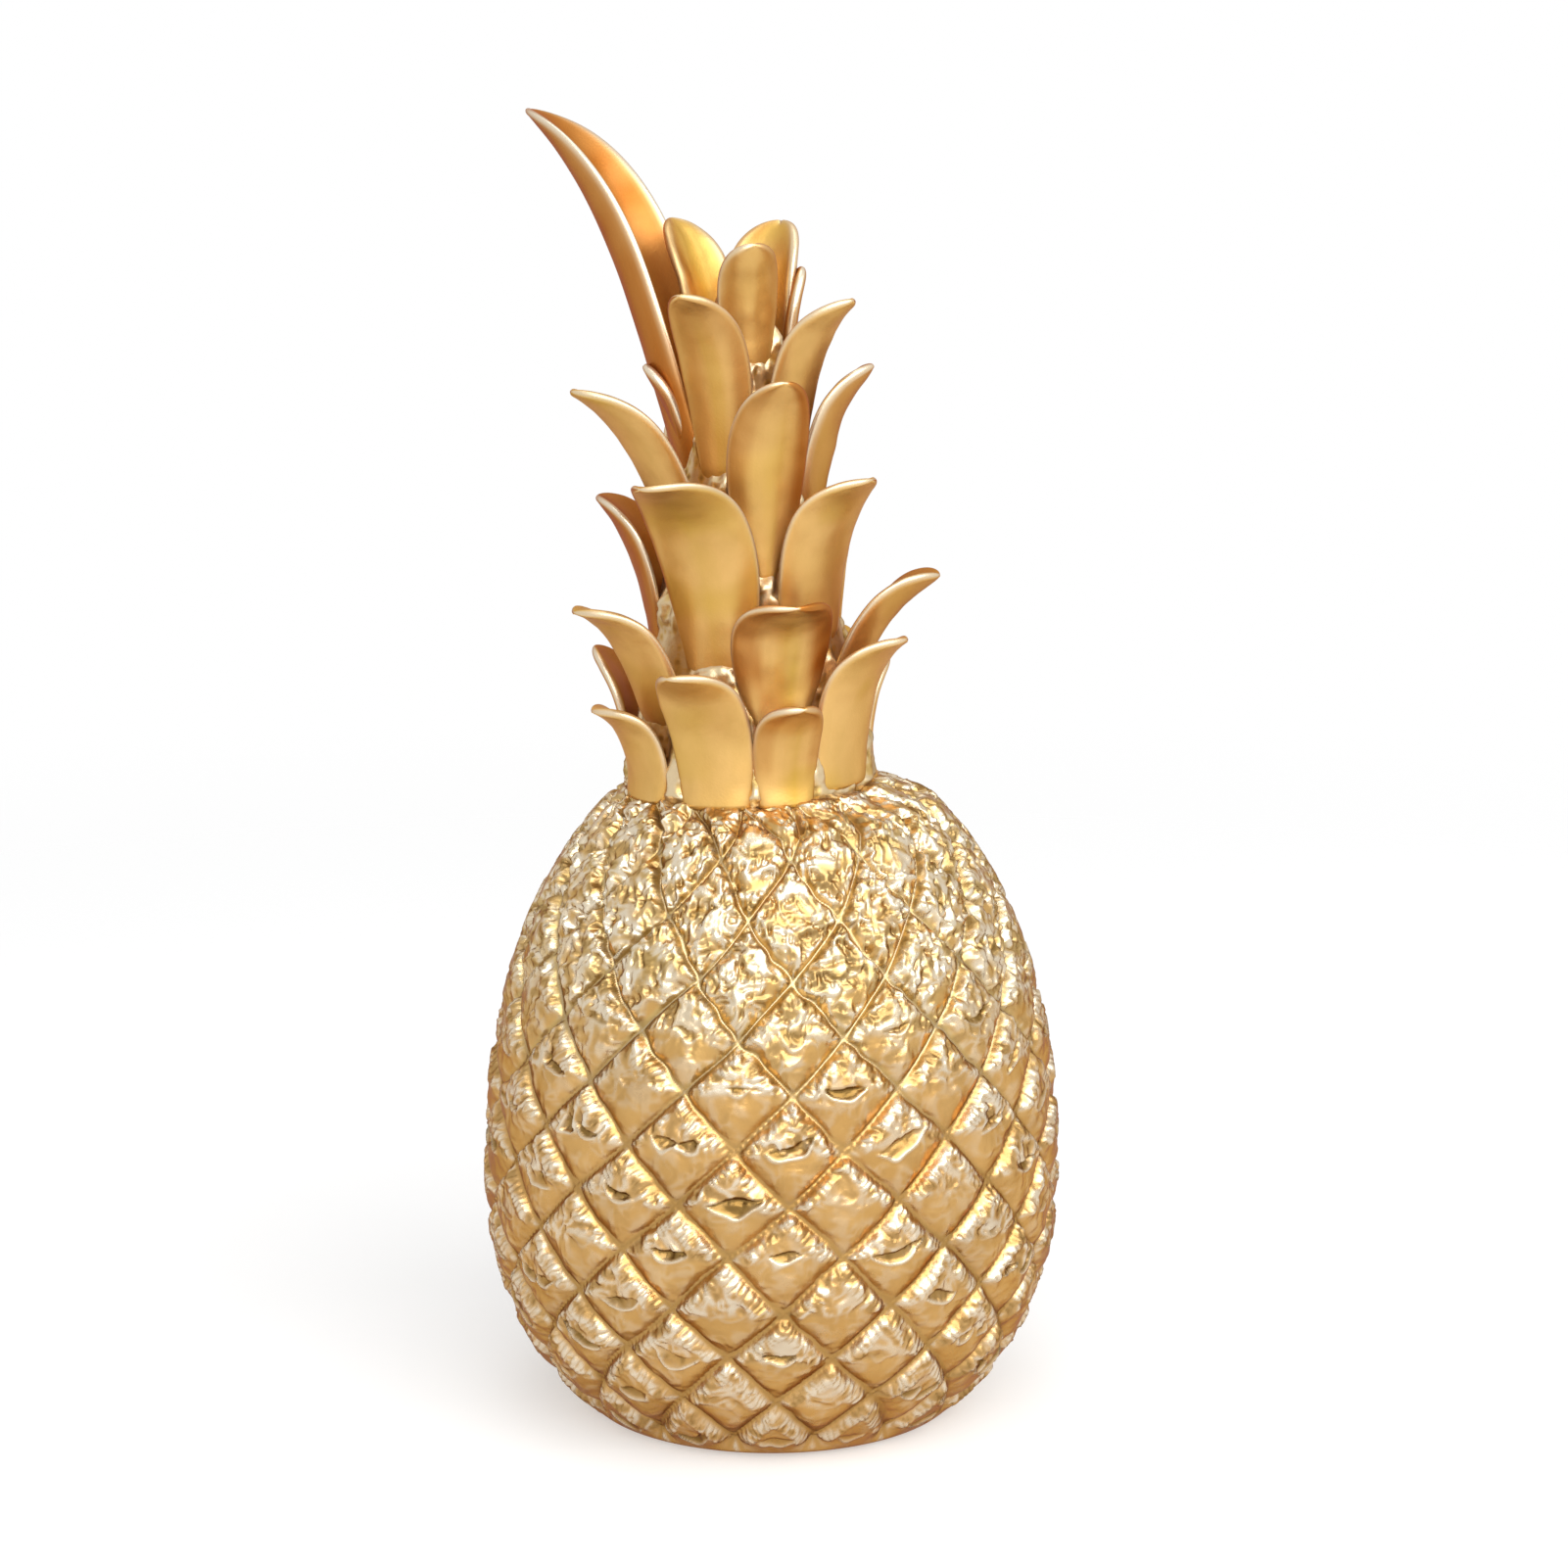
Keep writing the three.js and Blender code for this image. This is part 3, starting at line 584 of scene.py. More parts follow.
def eye_relief(columns, rows, points):
    """Height of the skin over its grooves as a share of the relief, and the three shares of its shade."""
    eye = find_eyes(columns, rows, points)
    form_body(eye)
    form_pocket(eye, points)
    form_ribs(eye)
    form_thread(eye)
    form_foil(eye, points)
    height = eye.body + eye.rims - eye.pocket + eye.ribs + eye.thread + eye.crumple
    calm = 0.5 * eye.lower
    calm_height = eye.body + eye.thread - 0.5 * eye.pocket + 0.5 * eye.rims + 0.5 * eye.ribs
    height = height * (1 - calm) + calm_height * calm
    past = np.tanh((height - HIGHEST_CREASE) / CREASE_LEVELLING)
    highest = HIGHEST_CREASE + CREASE_LEVELLING * past * 0.25
    height = np.minimum(height, highest)

    # Painted shade in grooves, pockets, the valleys of the creases and between ribs, and real stains that
    # fade out on the upper rows
    specks = smooth_step(0.1, 0.3, eye.lump_small + 0.5 * eye.lump) * smooth_step(0.2, 0.6, eye.hollow)
    shade_and_stain = 0.4 * smooth_step(0.3, 0.05, eye.body) + 0.8 * eye.pocket + 0.5 * specks + 0.25 * eye.gaps
    own = 0.05 + 0.6 * eye.chance["depth"]
    shade_and_stain = shade_and_stain + own * smooth_step(0.08, 0.4, eye.hollow) * (1 - 0.5 * eye.upper)
    shade_and_stain = shade_and_stain + 0.6 * eye.foil * smooth_step(0.64, 0.42, eye.stroke)
    stain = smooth_step(0.5, 0.75, noise(points, *STAIN)) * (0.4 + 0.6 * noise(points, *STAIN_FINE))
    shade_and_stain = shade_and_stain + 0.15 * stain * (1 - eye.upper)

    # Pale on ribs, pocket rims, threads and creases, partly burnish and partly painted highlight
    pale = eye.foil * (0.1 + (0.9 - 0.2 * eye.upper) * smooth_step(0.58, 0.85, eye.stroke))
    pale = pale * (1 - 0.5 * eye.gaps) * (1 - 0.9 * np.clip(1.3 * eye.hollow, 0, 1))
    pale = np.maximum(pale, 0.8 * eye.low_rim)
    pale = np.maximum(pale, 0.6 * eye.loose * rim_line(eye.inside, 0.02))
    # Yellow on the upper rows, and in the grooves of the loose rows
    yellow = np.maximum(eye.upper * (0.6 + 0.8 * eye.lump), eye.loose * smooth_step(0.2, 0.08, eye.inside))
    return height, 1 - np.clip(shade_and_stain, 0, 1), np.clip(pale, 0, 1), np.clip(yellow, 0, 1)


def build_fruit(material):
    columns = EYES_AROUND * COLUMNS_PER_EYE
    heights = np.arange(BASE_HEIGHT, LAST_EYE_HEIGHT, RING_STEP)
    heights = np.append(heights, LAST_EYE_HEIGHT)
    shoulder = np.concatenate([np.zeros(len(heights)), np.arange(1, SHOULDER_STEPS + 1) / SHOULDER_STEPS])
    heights = np.concatenate([heights, np.full(SHOULDER_STEPS, LAST_EYE_HEIGHT)])
    rows = (heights - EYE_ROW_HEIGHT) / EYE_ROW_PITCH + shoulder * SHOULDER_ROWS
    column = np.arange(columns) / COLUMNS_PER_EYE
    rows_grid, column_grid = np.meshgrid(rows, column, indexing="ij")
    twist = np.radians(EYE_ROW_TURN + EYE_TWIST_PER_ROW * rows_grid)
    around = directions(2 * math.pi * column_grid / EYES_AROUND + twist)
    outwards, upwards = outline_normal(heights)
    place = around * fruit_radius(heights)[:, None, None]
    place[..., 2] = heights[:, None]
    rim = to_world(around * SEAT_RIM_RADIUS)
    inward = shoulder[:, None, None]
    upward = 1 - (1 - shoulder[:, None]) ** SHOULDER_POWER
    mixed = place * (1 - inward) + rim * inward
    mixed[..., 2] = place[..., 2] * (1 - upward) + rim[..., 2] * upward
    normal = around * outwards[:, None, None]
    normal[..., 2] = upwards[:, None]
    relief, light, pale, yellow = eye_relief(column_grid, rows_grid, mixed)
    strength = smooth_step(BASE_HEIGHT, FIRST_EYE_HEIGHT, heights) * (1 - 0.75 * shoulder ** 2)
    lift = (relief - 1) * EYE_RELIEF * strength[:, None] - CREASE_ROOM
    # A ragged collar of skin laps up at the feet of the leaves
    ragged = noise(mixed, *COLLAR_LUMP) + 0.6 * creases(mixed, *COLLAR_CREASE) - 0.35
    lift = lift + COLLAR * ragged * smooth_step(0.55, 0.95, shoulder)[:, None]
    points = mixed + normal * lift[..., None]
    shade = np.stack([1 - (1 - light) * strength[:, None], pale, yellow], -1)

    # Foot face, felt recess and the flat seat under the crown close the skin
    recess = FELT_RADIUS + FIT_GAP
    recess_top = FELT_THICKNESS + FIT_GAP
    foot_rings = []
    for radius, height in ((POLE_RADIUS, recess_top), (recess, recess_top), (recess, BASE_HEIGHT)):
        ring = around[0] * radius
        ring[:, 2] = height
        foot_rings.append(ring)
    seat = to_world(around[-1] * POLE_RADIUS)
    all_points = np.concatenate([np.array(foot_rings), points, seat[None]])
    shades = np.concatenate([plain_shade(len(foot_rings), columns), shade, plain_shade(1, columns)])
    faces = grid_faces(len(all_points), columns)
    return make_piece(
        "fruit_skin", all_points.reshape(-1, 3), faces, material, "fruit_shell", shades)


# Crown

def stalk_radius(height):
    share = np.clip(height / STALK_HEIGHT, 0, 1)
    return STALK_FOOT_RADIUS * np.interp(share, STALK_TAPER[:, 0], STALK_TAPER[:, 1])


def leaf_shape(name):
    azimuth, foot, length, width, lean, curl, extra = LEAVES[name]
    own = dict(azimuth=azimuth, foot=foot, length=length, width=width, lean=lean, curl=curl)
    return COMMON_LEAF | own | extra


def growth(shape, along):
    """Direction in which a leaf grows, as across, back and up for a leaf at the front of the crown."""
    grown = np.maximum(along, 0)
    bend = grown ** (CURL_POWER * shape["curl_ease"])
    tilt = np.radians(shape["lean"] + (shape["curl"] - shape["lean"]) * bend)
    turn = np.radians(shape["side"] * grown ** SIDE_POWER)
    return np.stack([np.sin(turn), -np.sin(tilt) * np.cos(turn), np.cos(tilt) * np.cos(turn)], -1)


def leaf_width_share(shape, along):
    widening = np.sin(np.clip(along / shape["wide"], 0, 1) * math.pi / 2)
    low = shape["root"] + (1 - shape["root"]) * widening
    past = np.clip((along - shape["wide"]) / (1 - shape["wide"]), 0, 1)
    return np.where(along < shape["wide"], low, (1 - past ** TIP_ROUNDNESS) ** shape["blunt"])


def turn_round(points, azimuth):
    """Points turned round the axis of the crown."""
    cosine = math.cos(math.radians(azimuth))
    sine = math.sin(math.radians(azimuth))
    return points @ np.array([[cosine, sine, 0], [-sine, cosine, 0], [0, 0, 1]])


def leaf_spine(shape, along, root, length, foot_radius):
    """Points down the middle of a leaf, at the places along."""
    fine = np.linspace(-root, 1, SPINE_POINTS)
    strides = growth(shape, (fine[1:] + fine[:-1]) / 2) * length * (fine[1] - fine[0])
    foot = np.array([0, -foot_radius, shape["foot"] * CROWN_HEIGHT])
    start = foot - growth(shape, np.zeros(1))[0] * root * length
    path = np.concatenate([[[0, 0, 0]], np.cumsum(strides, axis=0)]) + start
    return np.stack([np.interp(along, fine, path[:, axis]) for axis in range(3)], -1)


def leaf_shade(form, points, shift, across, along, to_rim, grown, outer):
    """Painted reddish shade and reflection, rims of burnish and painted highlight, and yellow patches."""
    # Reddish painted shade on whole faces and along the right and left sides, and a reddish painted
    # reflection on one edge
    faces_red_shade = np.where(outer, form["deep"], form["inner"])
    bent = across + 0.25 * lumps(points, LEAF_BEND, shift + 5)
    band_red_shade = form["band"] * smooth_step(0.35, 0.7, bent)
    left_red_shade = form["left"] * smooth_step(-0.3, -0.6, bent)
    edge_red_reflection = abs(form["edge"]) * smooth_step(0.78, 0.93, form["edge"] * across) * outer
    red_shade = np.maximum(faces_red_shade, np.maximum(np.maximum(band_red_shade, left_red_shade), edge_red_reflection) * grown)
    light = 1 - red_shade * (0.85 + 0.3 * lumps(points, LEAF_TONE, shift + 3))
    # The rims are brought up to full light and turned pale: partly burnish, partly painted highlight
    rim_share = rim_line(to_rim, form["rim"]) * grown * (1 - form["band"] * (across > 0)) * (1 - edge_red_reflection)
    pale = (0.6 + 0.3 * form["deep"]) * rim_share
    light = np.clip(light + (1 - light) * rim_share, 0, 1)
    patches = noise(points, LEAF_MOTTLE, shift + 7) + 0.15 * ~outer
    yellow = form["mottle"] * smooth_step(0.55, 0.8, patches)
    streak = form["streak"] * rim_line(bent - STREAK_PLACE, STREAK_WIDTH) * smooth_step(0.95, 0.6, along)
    return np.stack([light, pale, np.clip(yellow + streak, 0, 1)], -1)


def build_leaf(name, number, material):
    shape = leaf_shape(name)
    form = PLAIN_LEAF | LEAF_FORMS.get(name, {})
    foot = shape["foot"] * CROWN_HEIGHT
    length = shape["length"] * CROWN_HEIGHT
    half_width = shape["width"] * LEAF_WIDTH / 2
    foot_radius = stalk_radius(max(foot, 2 * FIT_GAP)) + LEAF_THICKNESS / 2 - LEAF_SINK
    cup_radius = foot_radius * shape["cup"]

    # Rings along the leaf, from the end of its root, where it has one, to the tip
    along = 1 - (1 - np.arange(LEAF_RINGS + 1) / LEAF_RINGS) ** RING_POWER
    root = max(min(LEAF_ROOT, foot - 2 * FIT_GAP), 0) / length
    if root:
        along = np.concatenate([np.linspace(-root, 0, ROOT_RINGS, endpoint=False), along])
    spine = leaf_spine(shape, along, root, length, foot_radius)
    direction = growth(shape, along)
    right = np.array([1.0, 0, 0]) - direction * direction[:, :1]
    right /= np.linalg.norm(right, axis=-1, keepdims=True)
    outward = np.cross(right, direction)
    width = half_width * leaf_width_share(shape, np.maximum(along, 0))
    width = width * (1 - form["taper"] * smooth_step(0.3, 0, along))
    sunk = np.zeros_like(along)
    if root:
        sunk = np.clip(-along / root, 0, 1) ** 1.5
        width = width * (1 - (1 - ROOT_TIP_SHARE) * sunk)

    # Places round one section: out along the outer face and back along the inner face
    turn = np.linspace(0, 2 * math.pi, 2 * LEAF_ACROSS, endpoint=False)
    across = -np.cos(turn)
    across = (np.sign(across) * np.abs(across) ** COLUMN_POWER)[None]
    outer = (turn < math.pi)[None]
    side = np.where(outer, 1.0, -1.0)
    angle = across * (width / cup_radius)[:, None]
    rim_share = np.clip(1 - np.abs(across) ** RIM_ROUNDNESS, 0, 1)
    thin = np.sqrt(rim_share * (1 - np.abs(along[:, None]) ** TIP_THINNING))
    face = outward[:, None] * np.cos(angle)[..., None] + right[:, None] * np.sin(angle)[..., None]
    drop = cup_radius * (np.cos(angle) - 1) - shape["keel"] * width[:, None] * np.abs(across)
    drop = drop - ROOT_DEPTH * sunk[:, None]
    points = spine[:, None] + right[:, None] * (cup_radius * np.sin(angle))[..., None]
    points = points + outward[:, None] * drop[..., None]

    # Both faces stand off the middle; waves, keel, rolled rim and notch are laid on them
    lift = side * LEAF_THICKNESS / 2 * thin
    if not root:
        flare = FOOT_FLARE * np.exp(-(np.maximum(along, 0) * length / FOOT_FLARE_REACH) ** 1.5)
        lift = lift + flare[:, None] * outer * thin
    shift = number * LEAF_SHIFT
    wave = form["waves"] * (lumps(points, LEAF_WAVE, shift) + 0.3 * lumps(points, LEAF_RIPPLE, shift))
    grown = smooth_step(0.1, 0.4, along)[:, None]
    ridge = form["keel"] * rim_line(across, KEEL_WIDTH) * grown * smooth_step(0.98, 0.8, along)[:, None]
    to_rim = (1 - np.abs(across)) * np.maximum(width, 1)[:, None]
    lift = lift + (wave + ridge) * thin
    lift = lift + side * ROLL_HEIGHT * rim_line(to_rim - ROLL_PLACE, ROLL_WIDTH) * grown
    points = points + face * lift[..., None]
    notch = form["dent"] * rim_line(across, DENT_WIDTH) * smooth_step(0.75, 1.0, along)[:, None]
    notch = notch + form["short"] * smooth_step(0.8, 1.0, along)[:, None]
    points = points - direction[:, None] * notch[..., None]

    shade = leaf_shade(form, points, shift, across, along[:, None], to_rim, grown, outer)
    # The tip point is pale like the rims, partly burnish and partly painted highlight; the foot point is
    # plain
    shade = np.concatenate([shade[:-1].reshape(-1, 3), [[1, 0.7, 0], [1, 0, 0]]])
    tip = points[-1].mean(axis=0)
    points = points[:-1]
    rings, ring_size = points.shape[:2]
    flat = np.concatenate([points.reshape(-1, 3), tip[None], points[0].mean(axis=0)[None]])
    flat = to_world(turn_round(flat, shape["azimuth"]))
    faces = grid_faces(rings, ring_size)
    last = (rings - 1) * ring_size
    tip_index = rings * ring_size
    foot_index = tip_index + 1
    for here in range(ring_size):
        beside = (here + 1) % ring_size
        faces.append((last + here, last + beside, tip_index))
        faces.append((beside, here, foot_index))
    return make_piece(name + "_blade", flat, faces, material, name, shade)


def lay_filler(place, angle, radius):
    """Shares of the stalk's skin that are filler beside a leaf, a bead along its foot, and hidden by it."""
    filler = np.zeros_like(radius)
    bead = np.zeros_like(radius)
    covered = np.zeros_like(radius)
    ragged = lumps(place, *RAGGED)
    ragged_up = lumps(place, *RAGGED_UP) + 0.8 * lumps(place, *RAGGED_FINE)
    for name in LEAVES:
        shape = leaf_shape(name)
        up = place[..., 2] - shape["foot"] * CROWN_HEIGHT + RAGGED_UPWARDS * ragged_up
        along = np.clip(up / (shape["length"] * CROWN_HEIGHT), 0, 1)
        half = np.maximum(shape["width"] * LEAF_WIDTH / 2 * leaf_width_share(shape, along), 0.01)
        turned = (np.degrees(angle) - shape["azimuth"] + 180) % 360 - 180
        sideways = np.abs(np.radians(turned) * radius) + RAGGED_SIDEWAYS * ragged
        beside = smooth_step(half + FILLER_BESIDE[0], half + FILLER_BESIDE[1], sideways)
        beside = beside * smooth_step(*FILLER_BELOW, up)
        filler = np.maximum(filler, beside * smooth_step(*FILLER_ABOVE, up))
        upright = rim_line(sideways - half - BEAD_BESIDE, BEAD_WIDTH) * smooth_step(-1.5, 0, up)
        bead = np.maximum(bead, upright * smooth_step(*BEAD_ABOVE, up))
        level = rim_line(up + BEAD_BELOW, BEAD_WIDTH) * smooth_step(half + 1.5, half - 0.5, sideways)
        bead = np.maximum(bead, level)
        under = smooth_step(half * 0.98, half * 0.7, sideways) * smooth_step(-3.0, 1.2, up)
        covered = np.maximum(covered, under * smooth_step(20.0, 10.0, up))
    return filler, bead, covered


def build_stalk(material):
    height = np.linspace(0, 1, STALK_RINGS) * STALK_HEIGHT
    angle = np.linspace(0, 2 * math.pi, STALK_COLUMNS, endpoint=False)
    height_grid, angle_grid = np.meshgrid(height, angle, indexing="ij")
    around = directions(angle_grid)
    radius = stalk_radius(height_grid)
    place = around * radius[..., None]
    place[..., 2] = height_grid
    filler, bead, covered = lay_filler(place, angle_grid, radius)
    wrinkle = creases(place, *WRINKLE) - 0.5 + 0.9 * (creases(place, *WRINKLE_FINE) - 0.5)
    lump = noise(place, *STALK_LUMP) - 0.4
    fade = np.clip(radius / NARROW_STALK, 0.2, 1) * smooth_step(0, 1.5, height_grid)
    swell = ((0.55 + 0.7 * lump) * filler + 0.45 * wrinkle + (0.35 + 0.9 * lump) * bead) * fade
    swell = swell * (1 - covered) - 0.3 * covered
    points = place + around * swell[..., None]
    # Painted shade in the valleys of the wrinkles and pale on their crests, partly burnish and partly
    # painted highlight
    light = 1 - 0.8 * smooth_step(0.05, -0.35, wrinkle)
    pale = 0.45 * smooth_step(0.0, 0.45, wrinkle)
    shade = np.stack([light, pale, np.clip(0.5 + lump, 0, 1)], -1)
    foot = around[:1] * POLE_RADIUS
    top = foot + np.array([0, 0, STALK_HEIGHT + float(stalk_radius(STALK_HEIGHT)) / 2])
    everything = to_world(np.concatenate([foot, points, top]).reshape(-1, 3))
    plain = plain_shade(1, STALK_COLUMNS)
    shades = np.concatenate([plain, shade, plain])
    faces = grid_faces(STALK_RINGS + 2, STALK_COLUMNS)
    return make_piece("crown_stalk_core", everything, faces, material, "crown_stalk", shades)


# Base

def build_felt(material):
    """The felt disc, with rounded edges and an outline that waves a little."""
    turns = [math.pi / 2 * step / EDGE_STEPS for step in range(EDGE_STEPS + 1)]
    inner = FELT_RADIUS - FELT_EDGE
    profile = [(POLE_RADIUS, 0)]
    for turn in turns:
        profile.append((inner + FELT_EDGE * math.sin(turn), FELT_EDGE - FELT_EDGE * math.cos(turn)))
    for turn in turns:
        top = FELT_THICKNESS - FELT_EDGE + FELT_EDGE * math.sin(turn)
        profile.append((inner + FELT_EDGE * math.cos(turn), top))
    profile.append((POLE_RADIUS, FELT_THICKNESS))
    angle = np.linspace(0, 2 * math.pi, DISC_COLUMNS, endpoint=False)
    wave = noise(np.stack([8 * np.cos(angle), 8 * np.sin(angle), 0 * angle], -1), 1.0) - 1
    rings = []
    for radius, height in profile:
        reach = radius + FELT_WAVE * wave
        ring = [reach * np.cos(angle), reach * np.sin(angle), np.full(DISC_COLUMNS, height)]
        rings.append(np.stack(ring, -1))
    faces = grid_faces(len(rings), DISC_COLUMNS)
    return make_piece("felt_pad", np.array(rings).reshape(-1, 3), faces, material, "base_felt")


# Materials

def new_material(name):
    material = bpy.data.materials.new(name)
    material.use_nodes = True
    tree = material.node_tree
    return material, tree, tree.nodes["Principled BSDF"]


def add_node(tree, kind, values=None, **settings):
    """A new node, with values for its inputs and its own settings."""
    node = tree.nodes.new(kind)
    for setting, value in settings.items():
        setattr(node, setting, value)
    for socket, value in (values or {}).items():
        node.inputs[socket].default_value = value
    return node


def add_noise(tree, scale, detail, roughness=0.5, stretch=None):
    source = add_node(tree, "ShaderNodeTexCoord").outputs["Object"]
    if stretch:
        mapping = add_node(tree, "ShaderNodeMapping", {"Scale": stretch})
        tree.links.new(source, mapping.inputs["Vector"])
        source = mapping.outputs["Vector"]
    values = {"Scale": scale, "Detail": detail, "Roughness": roughness}
    texture = add_node(tree, "ShaderNodeTexNoise", values)
    tree.links.new(source, texture.inputs["Vector"])
    return texture.outputs["Fac"]


def add_ramp(tree, factor, low, high, start=0.35, stop=0.65):
    ramp = add_node(tree, "ShaderNodeValToRGB")
    for element, position, colour in zip(ramp.color_ramp.elements, (start, stop), (low, high)):
        element.position = position
        element.color = (*colour, 1)
    tree.links.new(factor, ramp.inputs["Fac"])
    return ramp.outputs["Color"]


def add_range(tree, factor, low, high, start=0.0, stop=1.0):
    """A value that goes from low to high while the factor goes from start to stop."""
    values = {"From Min": start, "From Max": stop, "To Min": low, "To Max": high}
    node = add_node(tree, "ShaderNodeMapRange", values)
    tree.links.new(factor, node.inputs["Value"])
    return node.outputs["Result"]


def add_math(tree, operation, first, second):
    node = add_node(tree, "ShaderNodeMath", operation=operation)
    tree.links.new(first, node.inputs[0])
    tree.links.new(second, node.inputs[1])
    return node.outputs[0]


def add_mix(tree, factor, first, second):
    """Colour that goes from first to second; either may be an output or a plain colour."""
    node = add_node(tree, "ShaderNodeMix", data_type="RGBA")
    tree.links.new(factor, node.inputs["Factor"])
    colour_inputs = [socket for socket in node.inputs if socket.type == "RGBA"]
    for socket, value in zip(colour_inputs, (first, second)):
        if isinstance(value, tuple):
            socket.default_value = (*value, 1)
        else:
            tree.links.new(value, socket)
    return next(socket for socket in node.outputs if socket.type == "RGBA")


def add_bump(tree, shader, height, strength, distance):
    bump = add_node(tree, "ShaderNodeBump", {"Strength": strength, "Distance": distance})
    tree.links.new(height, bump.inputs["Height"])
    tree.links.new(bump.outputs["Normal"], shader.inputs["Normal"])


def gold_material(name, bright, deep, yellow, shade_and_stain, edge, polish, metallic, coat, grain, stretch=None):
    """Satin gold lacquer: mottled metal, painted shade in hollows, pale burnish and painted highlight on
    crests.
    """
    material, tree, shader = new_material(name)
    shader.inputs["Metallic"].default_value = metallic
    shader.inputs["Specular Tint"].default_value = (*edge, 1)
    shader.inputs["Coat Weight"].default_value = coat
    shader.inputs["Coat IOR"].default_value = COAT_IOR
    shader.inputs["Coat Roughness"].default_value = COAT_ROUGHNESS
    colour = add_ramp(tree, add_noise(tree, MOTTLE_SCALE, 5, 0.6, stretch), deep, bright)
    attribute = add_node(tree, "ShaderNodeAttribute", attribute_name="shade")
    tones = add_node(tree, "ShaderNodeSeparateColor")
    tree.links.new(attribute.outputs["Color"], tones.inputs["Color"])
    # Yellow tone first, then the pale of burnish and painted highlight, then the painted shade
    colour = add_mix(tree, tones.outputs["Blue"], colour, yellow)
    colour = add_mix(tree, tones.outputs["Green"], colour, PALE_GOLD_AND_HIGHLIGHT)
    colour = add_mix(tree, tones.outputs["Red"], shade_and_stain, colour)
    tree.links.new(colour, shader.inputs["Base Color"])
    satin = add_range(tree, add_noise(tree, SATIN_SCALE, 3), *polish, 0.3, 0.7)
    burnish = add_range(tree, tones.outputs["Green"], 1, BURNISH)
    tree.links.new(add_math(tree, "MULTIPLY", satin, burnish), shader.inputs["Roughness"])
    add_bump(tree, shader, add_noise(tree, GRAIN_SCALE, 2, 0.6), grain, GRAIN_DEPTH)
    return material


def plain_material(name, low, high, roughness, scale, bump_scale, bump_strength):
    material, tree, shader = new_material(name)
    shader.inputs["Roughness"].default_value = roughness
    tree.links.new(add_ramp(tree, add_noise(tree, scale, 4), low, high), shader.inputs["Base Color"])
    add_bump(tree, shader, add_noise(tree, bump_scale, 3), bump_strength, PLAIN_DEPTH)
    return material


# Stage

def add_seen(tree):
    """1 for what the camera, reflections and glass see, 0 for the light that falls on surfaces."""
    rays = add_node(tree, "ShaderNodeLightPath").outputs
    seen = add_math(tree, "MAXIMUM", rays["Is Camera Ray"], rays["Is Glossy Ray"])
    return add_math(tree, "MAXIMUM", seen, rays["Is Transmission Ray"])


def build_world(scene):
    """Soft light from all round, which the camera and reflections see as white."""
    world = bpy.data.worlds.new("studio")
    scene.world = world
    world.use_nodes = True
    tree = world.node_tree
    background = tree.nodes["Background"]
    background.inputs["Color"].default_value = (1, 1, 1, 1)
    tree.links.new(add_range(tree, add_seen(tree), WORLD_LIGHT, 1), background.inputs["Strength"])


def build_floor(scene):
    """A pale floor that keeps the object's shadow and fades into the white of the world."""
    material, tree, shader = new_material("studio_floor")
    tree.nodes.remove(shader)
    grey = (FLOOR_GREY, FLOOR_GREY, FLOOR_GREY, 1)
    diffuse = add_node(tree, "ShaderNodeBsdfDiffuse", {"Color": grey})
    glow = add_node(tree, "ShaderNodeEmission")
    tree.links.new(add_range(tree, add_seen(tree), 0, FLOOR_GLOW), glow.inputs["Strength"])
    both = add_node(tree, "ShaderNodeAddShader")
    tree.links.new(diffuse.outputs[0], both.inputs[0])
    tree.links.new(glow.outputs[0], both.inputs[1])
    place = add_node(tree, "ShaderNodeTexCoord")
    distance = add_node(tree, "ShaderNodeVectorMath", operation="LENGTH")
    tree.links.new(place.outputs["Object"], distance.inputs[0])
    values = {"From Min": FLOOR_EDGE[0], "From Max": FLOOR_EDGE[1]}
    fade = add_node(tree, "ShaderNodeMapRange", values, interpolation_type="SMOOTHSTEP")
    tree.links.new(distance.outputs["Value"], fade.inputs["Value"])
    clear = add_node(tree, "ShaderNodeBsdfTransparent")
    mix = add_node(tree, "ShaderNodeMixShader")
    tree.links.new(fade.outputs["Result"], mix.inputs[0])
    tree.links.new(both.outputs[0], mix.inputs[1])
    tree.links.new(clear.outputs[0], mix.inputs[2])
    tree.links.new(mix.outputs[0], tree.nodes["Material Output"].inputs["Surface"])
    mesh = bpy.data.meshes.new("studio_floor")
    corners = [(-1, -1), (1, -1), (1, 1), (-1, 1)]
    mesh.from_pydata([(x * FLOOR_REACH, y * FLOOR_REACH, 0) for x, y in corners], [], [(0, 1, 2, 3)])
    mesh.materials.append(material)
    floor = bpy.data.objects.new("studio_floor", mesh)
    scene.collection.objects.link(floor)


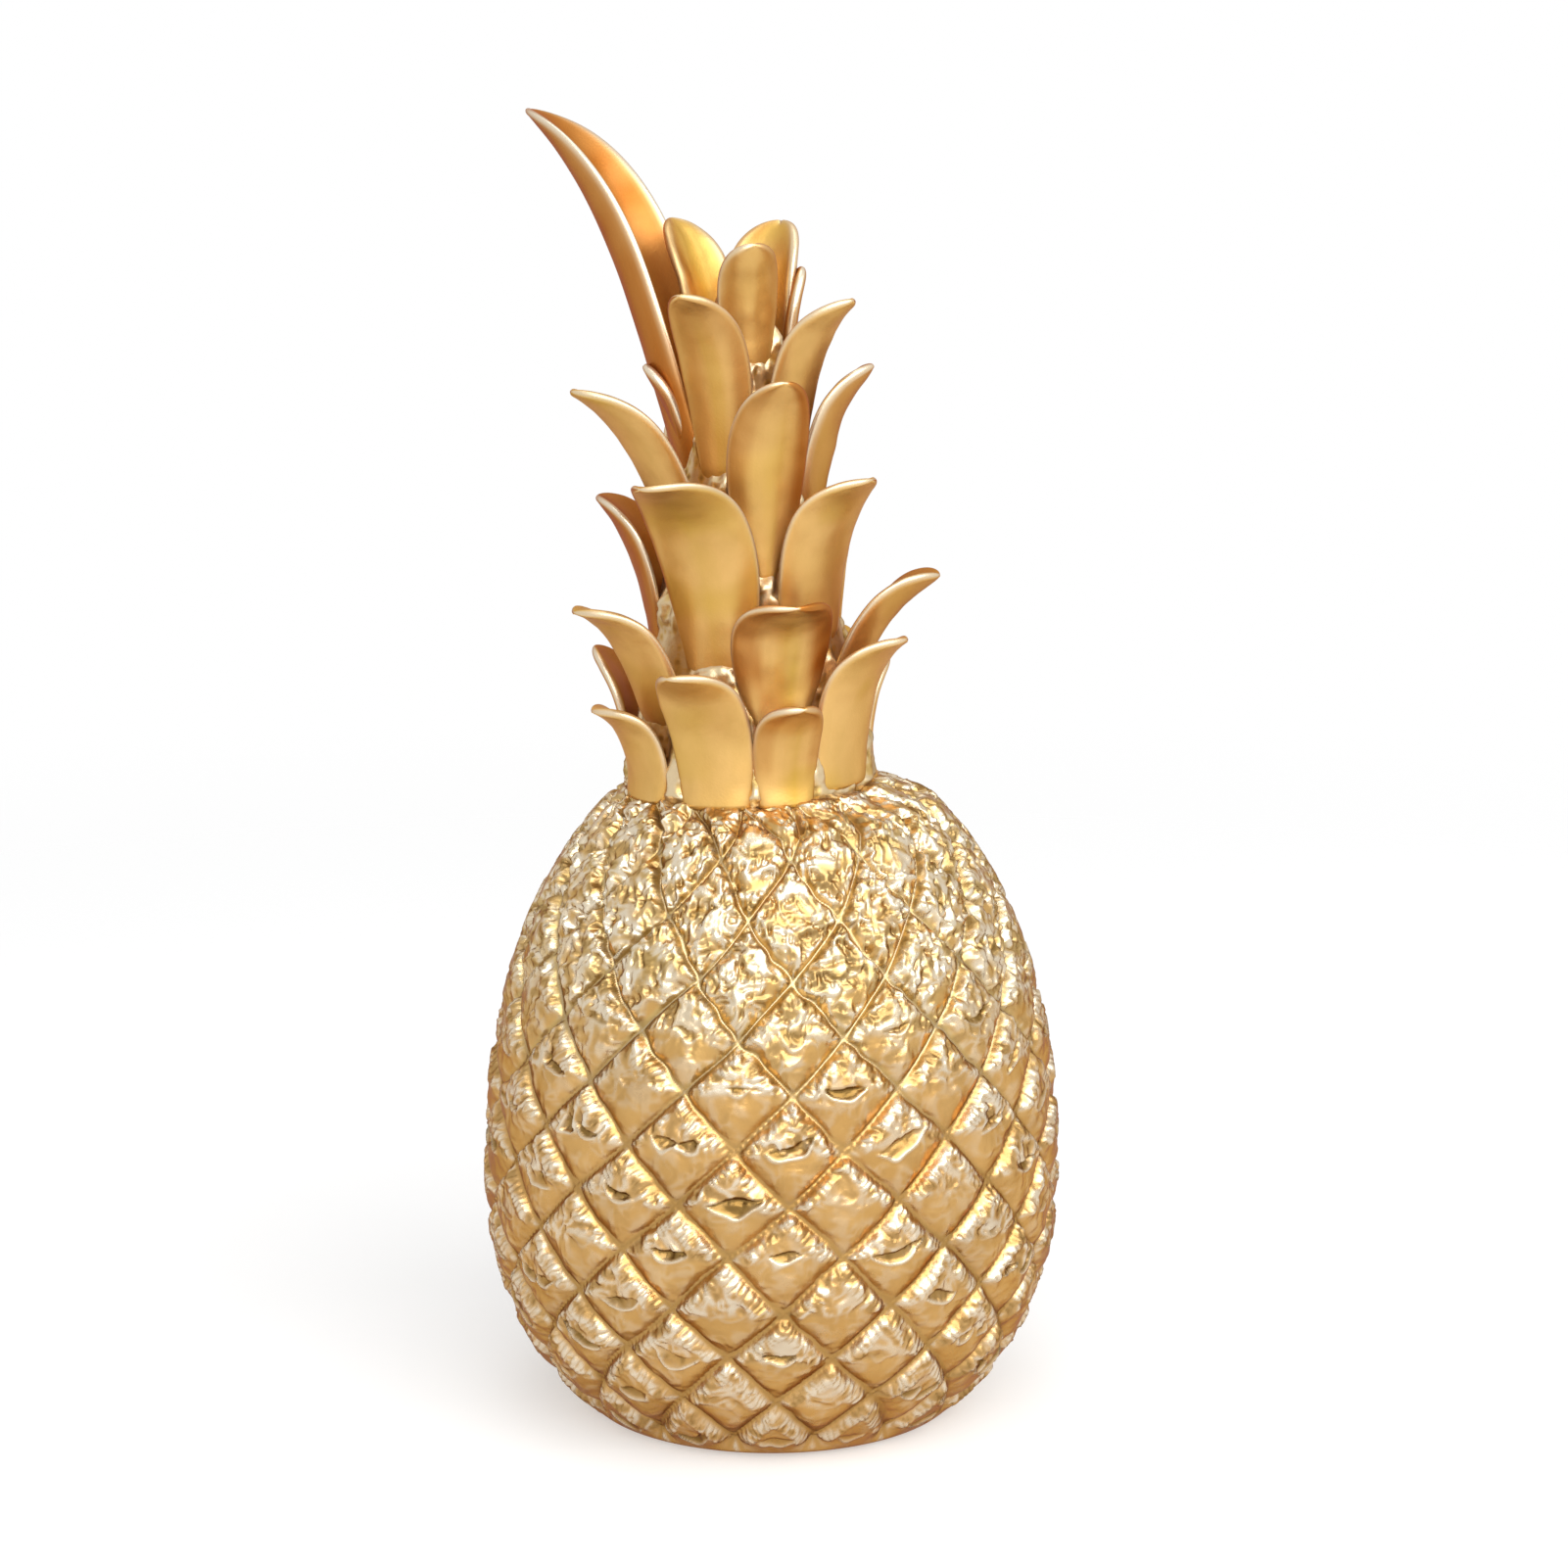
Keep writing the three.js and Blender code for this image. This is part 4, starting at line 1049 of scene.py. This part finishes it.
def add_softbox(scene, name, place, target, width, height, watts):
    lamp = bpy.data.lights.new(name, "AREA")
    lamp.shape = "RECTANGLE"
    lamp.size = width
    lamp.size_y = height
    lamp.energy = watts
    box = bpy.data.objects.new(name, lamp)
    box.location = place
    box.rotation_euler = (Vector(target) - Vector(place)).to_track_quat("-Z", "Y").to_euler()
    scene.collection.objects.link(box)


def add_camera(scene):
    camera = bpy.data.cameras.new("camera")
    camera.lens = CAMERA_LENS
    camera.sensor_width = CAMERA_SENSOR
    view = bpy.data.objects.new("camera", camera)
    view.location = CAMERA_PLACE
    view.rotation_euler = (math.radians(CAMERA_TILT), 0, math.radians(CAMERA_TURN))
    scene.collection.objects.link(view)
    scene.camera = view


# Assembly

fruit_gold = gold_material(
    "fruit_gold", FRUIT_BRIGHT, FRUIT_DEEP, FRUIT_YELLOW, SHADE_AND_STAIN_GOLD, FRUIT_EDGE,
    polish=(0.27, 0.38), metallic=0.88, coat=0.12, grain=0.3)
leaf_gold = gold_material(
    "leaf_gold", LEAF_BRIGHT, LEAF_DEEP, LEAF_YELLOW, RED_SHADE_GOLD, LEAF_EDGE,
    polish=(0.4, 0.5), metallic=0.8, coat=0.06, grain=0.25, stretch=(1, 1, 0.5))
stalk_gold = gold_material(
    "stalk_gold", STALK_BRIGHT, STALK_DEEP, FRUIT_YELLOW, SHADE_AND_STAIN_GOLD, FRUIT_EDGE,
    polish=(0.35, 0.45), metallic=0.85, coat=0.1, grain=0.3)
resin = plain_material(
    "bare_resin", RESIN_LOW, RESIN_HIGH, roughness=0.7, scale=120, bump_scale=900, bump_strength=0.3)
felt = plain_material(
    "felt", FELT_LOW, FELT_HIGH, roughness=0.95, scale=900, bump_scale=3200, bump_strength=1.0)

build_fruit(fruit_gold)
build_stalk(stalk_gold)
for leaf_number, leaf_name in enumerate(LEAVES):
    build_leaf(leaf_name, leaf_number, leaf_gold)
build_felt(felt)
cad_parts["base_plug"].material_slots[0].material = resin

stage = bpy.context.scene
stage.view_settings.view_transform = "Standard"
build_world(stage)
build_floor(stage)
for softbox_name, softbox in SOFTBOXES.items():
    add_softbox(stage, softbox_name, *softbox)
add_camera(stage)
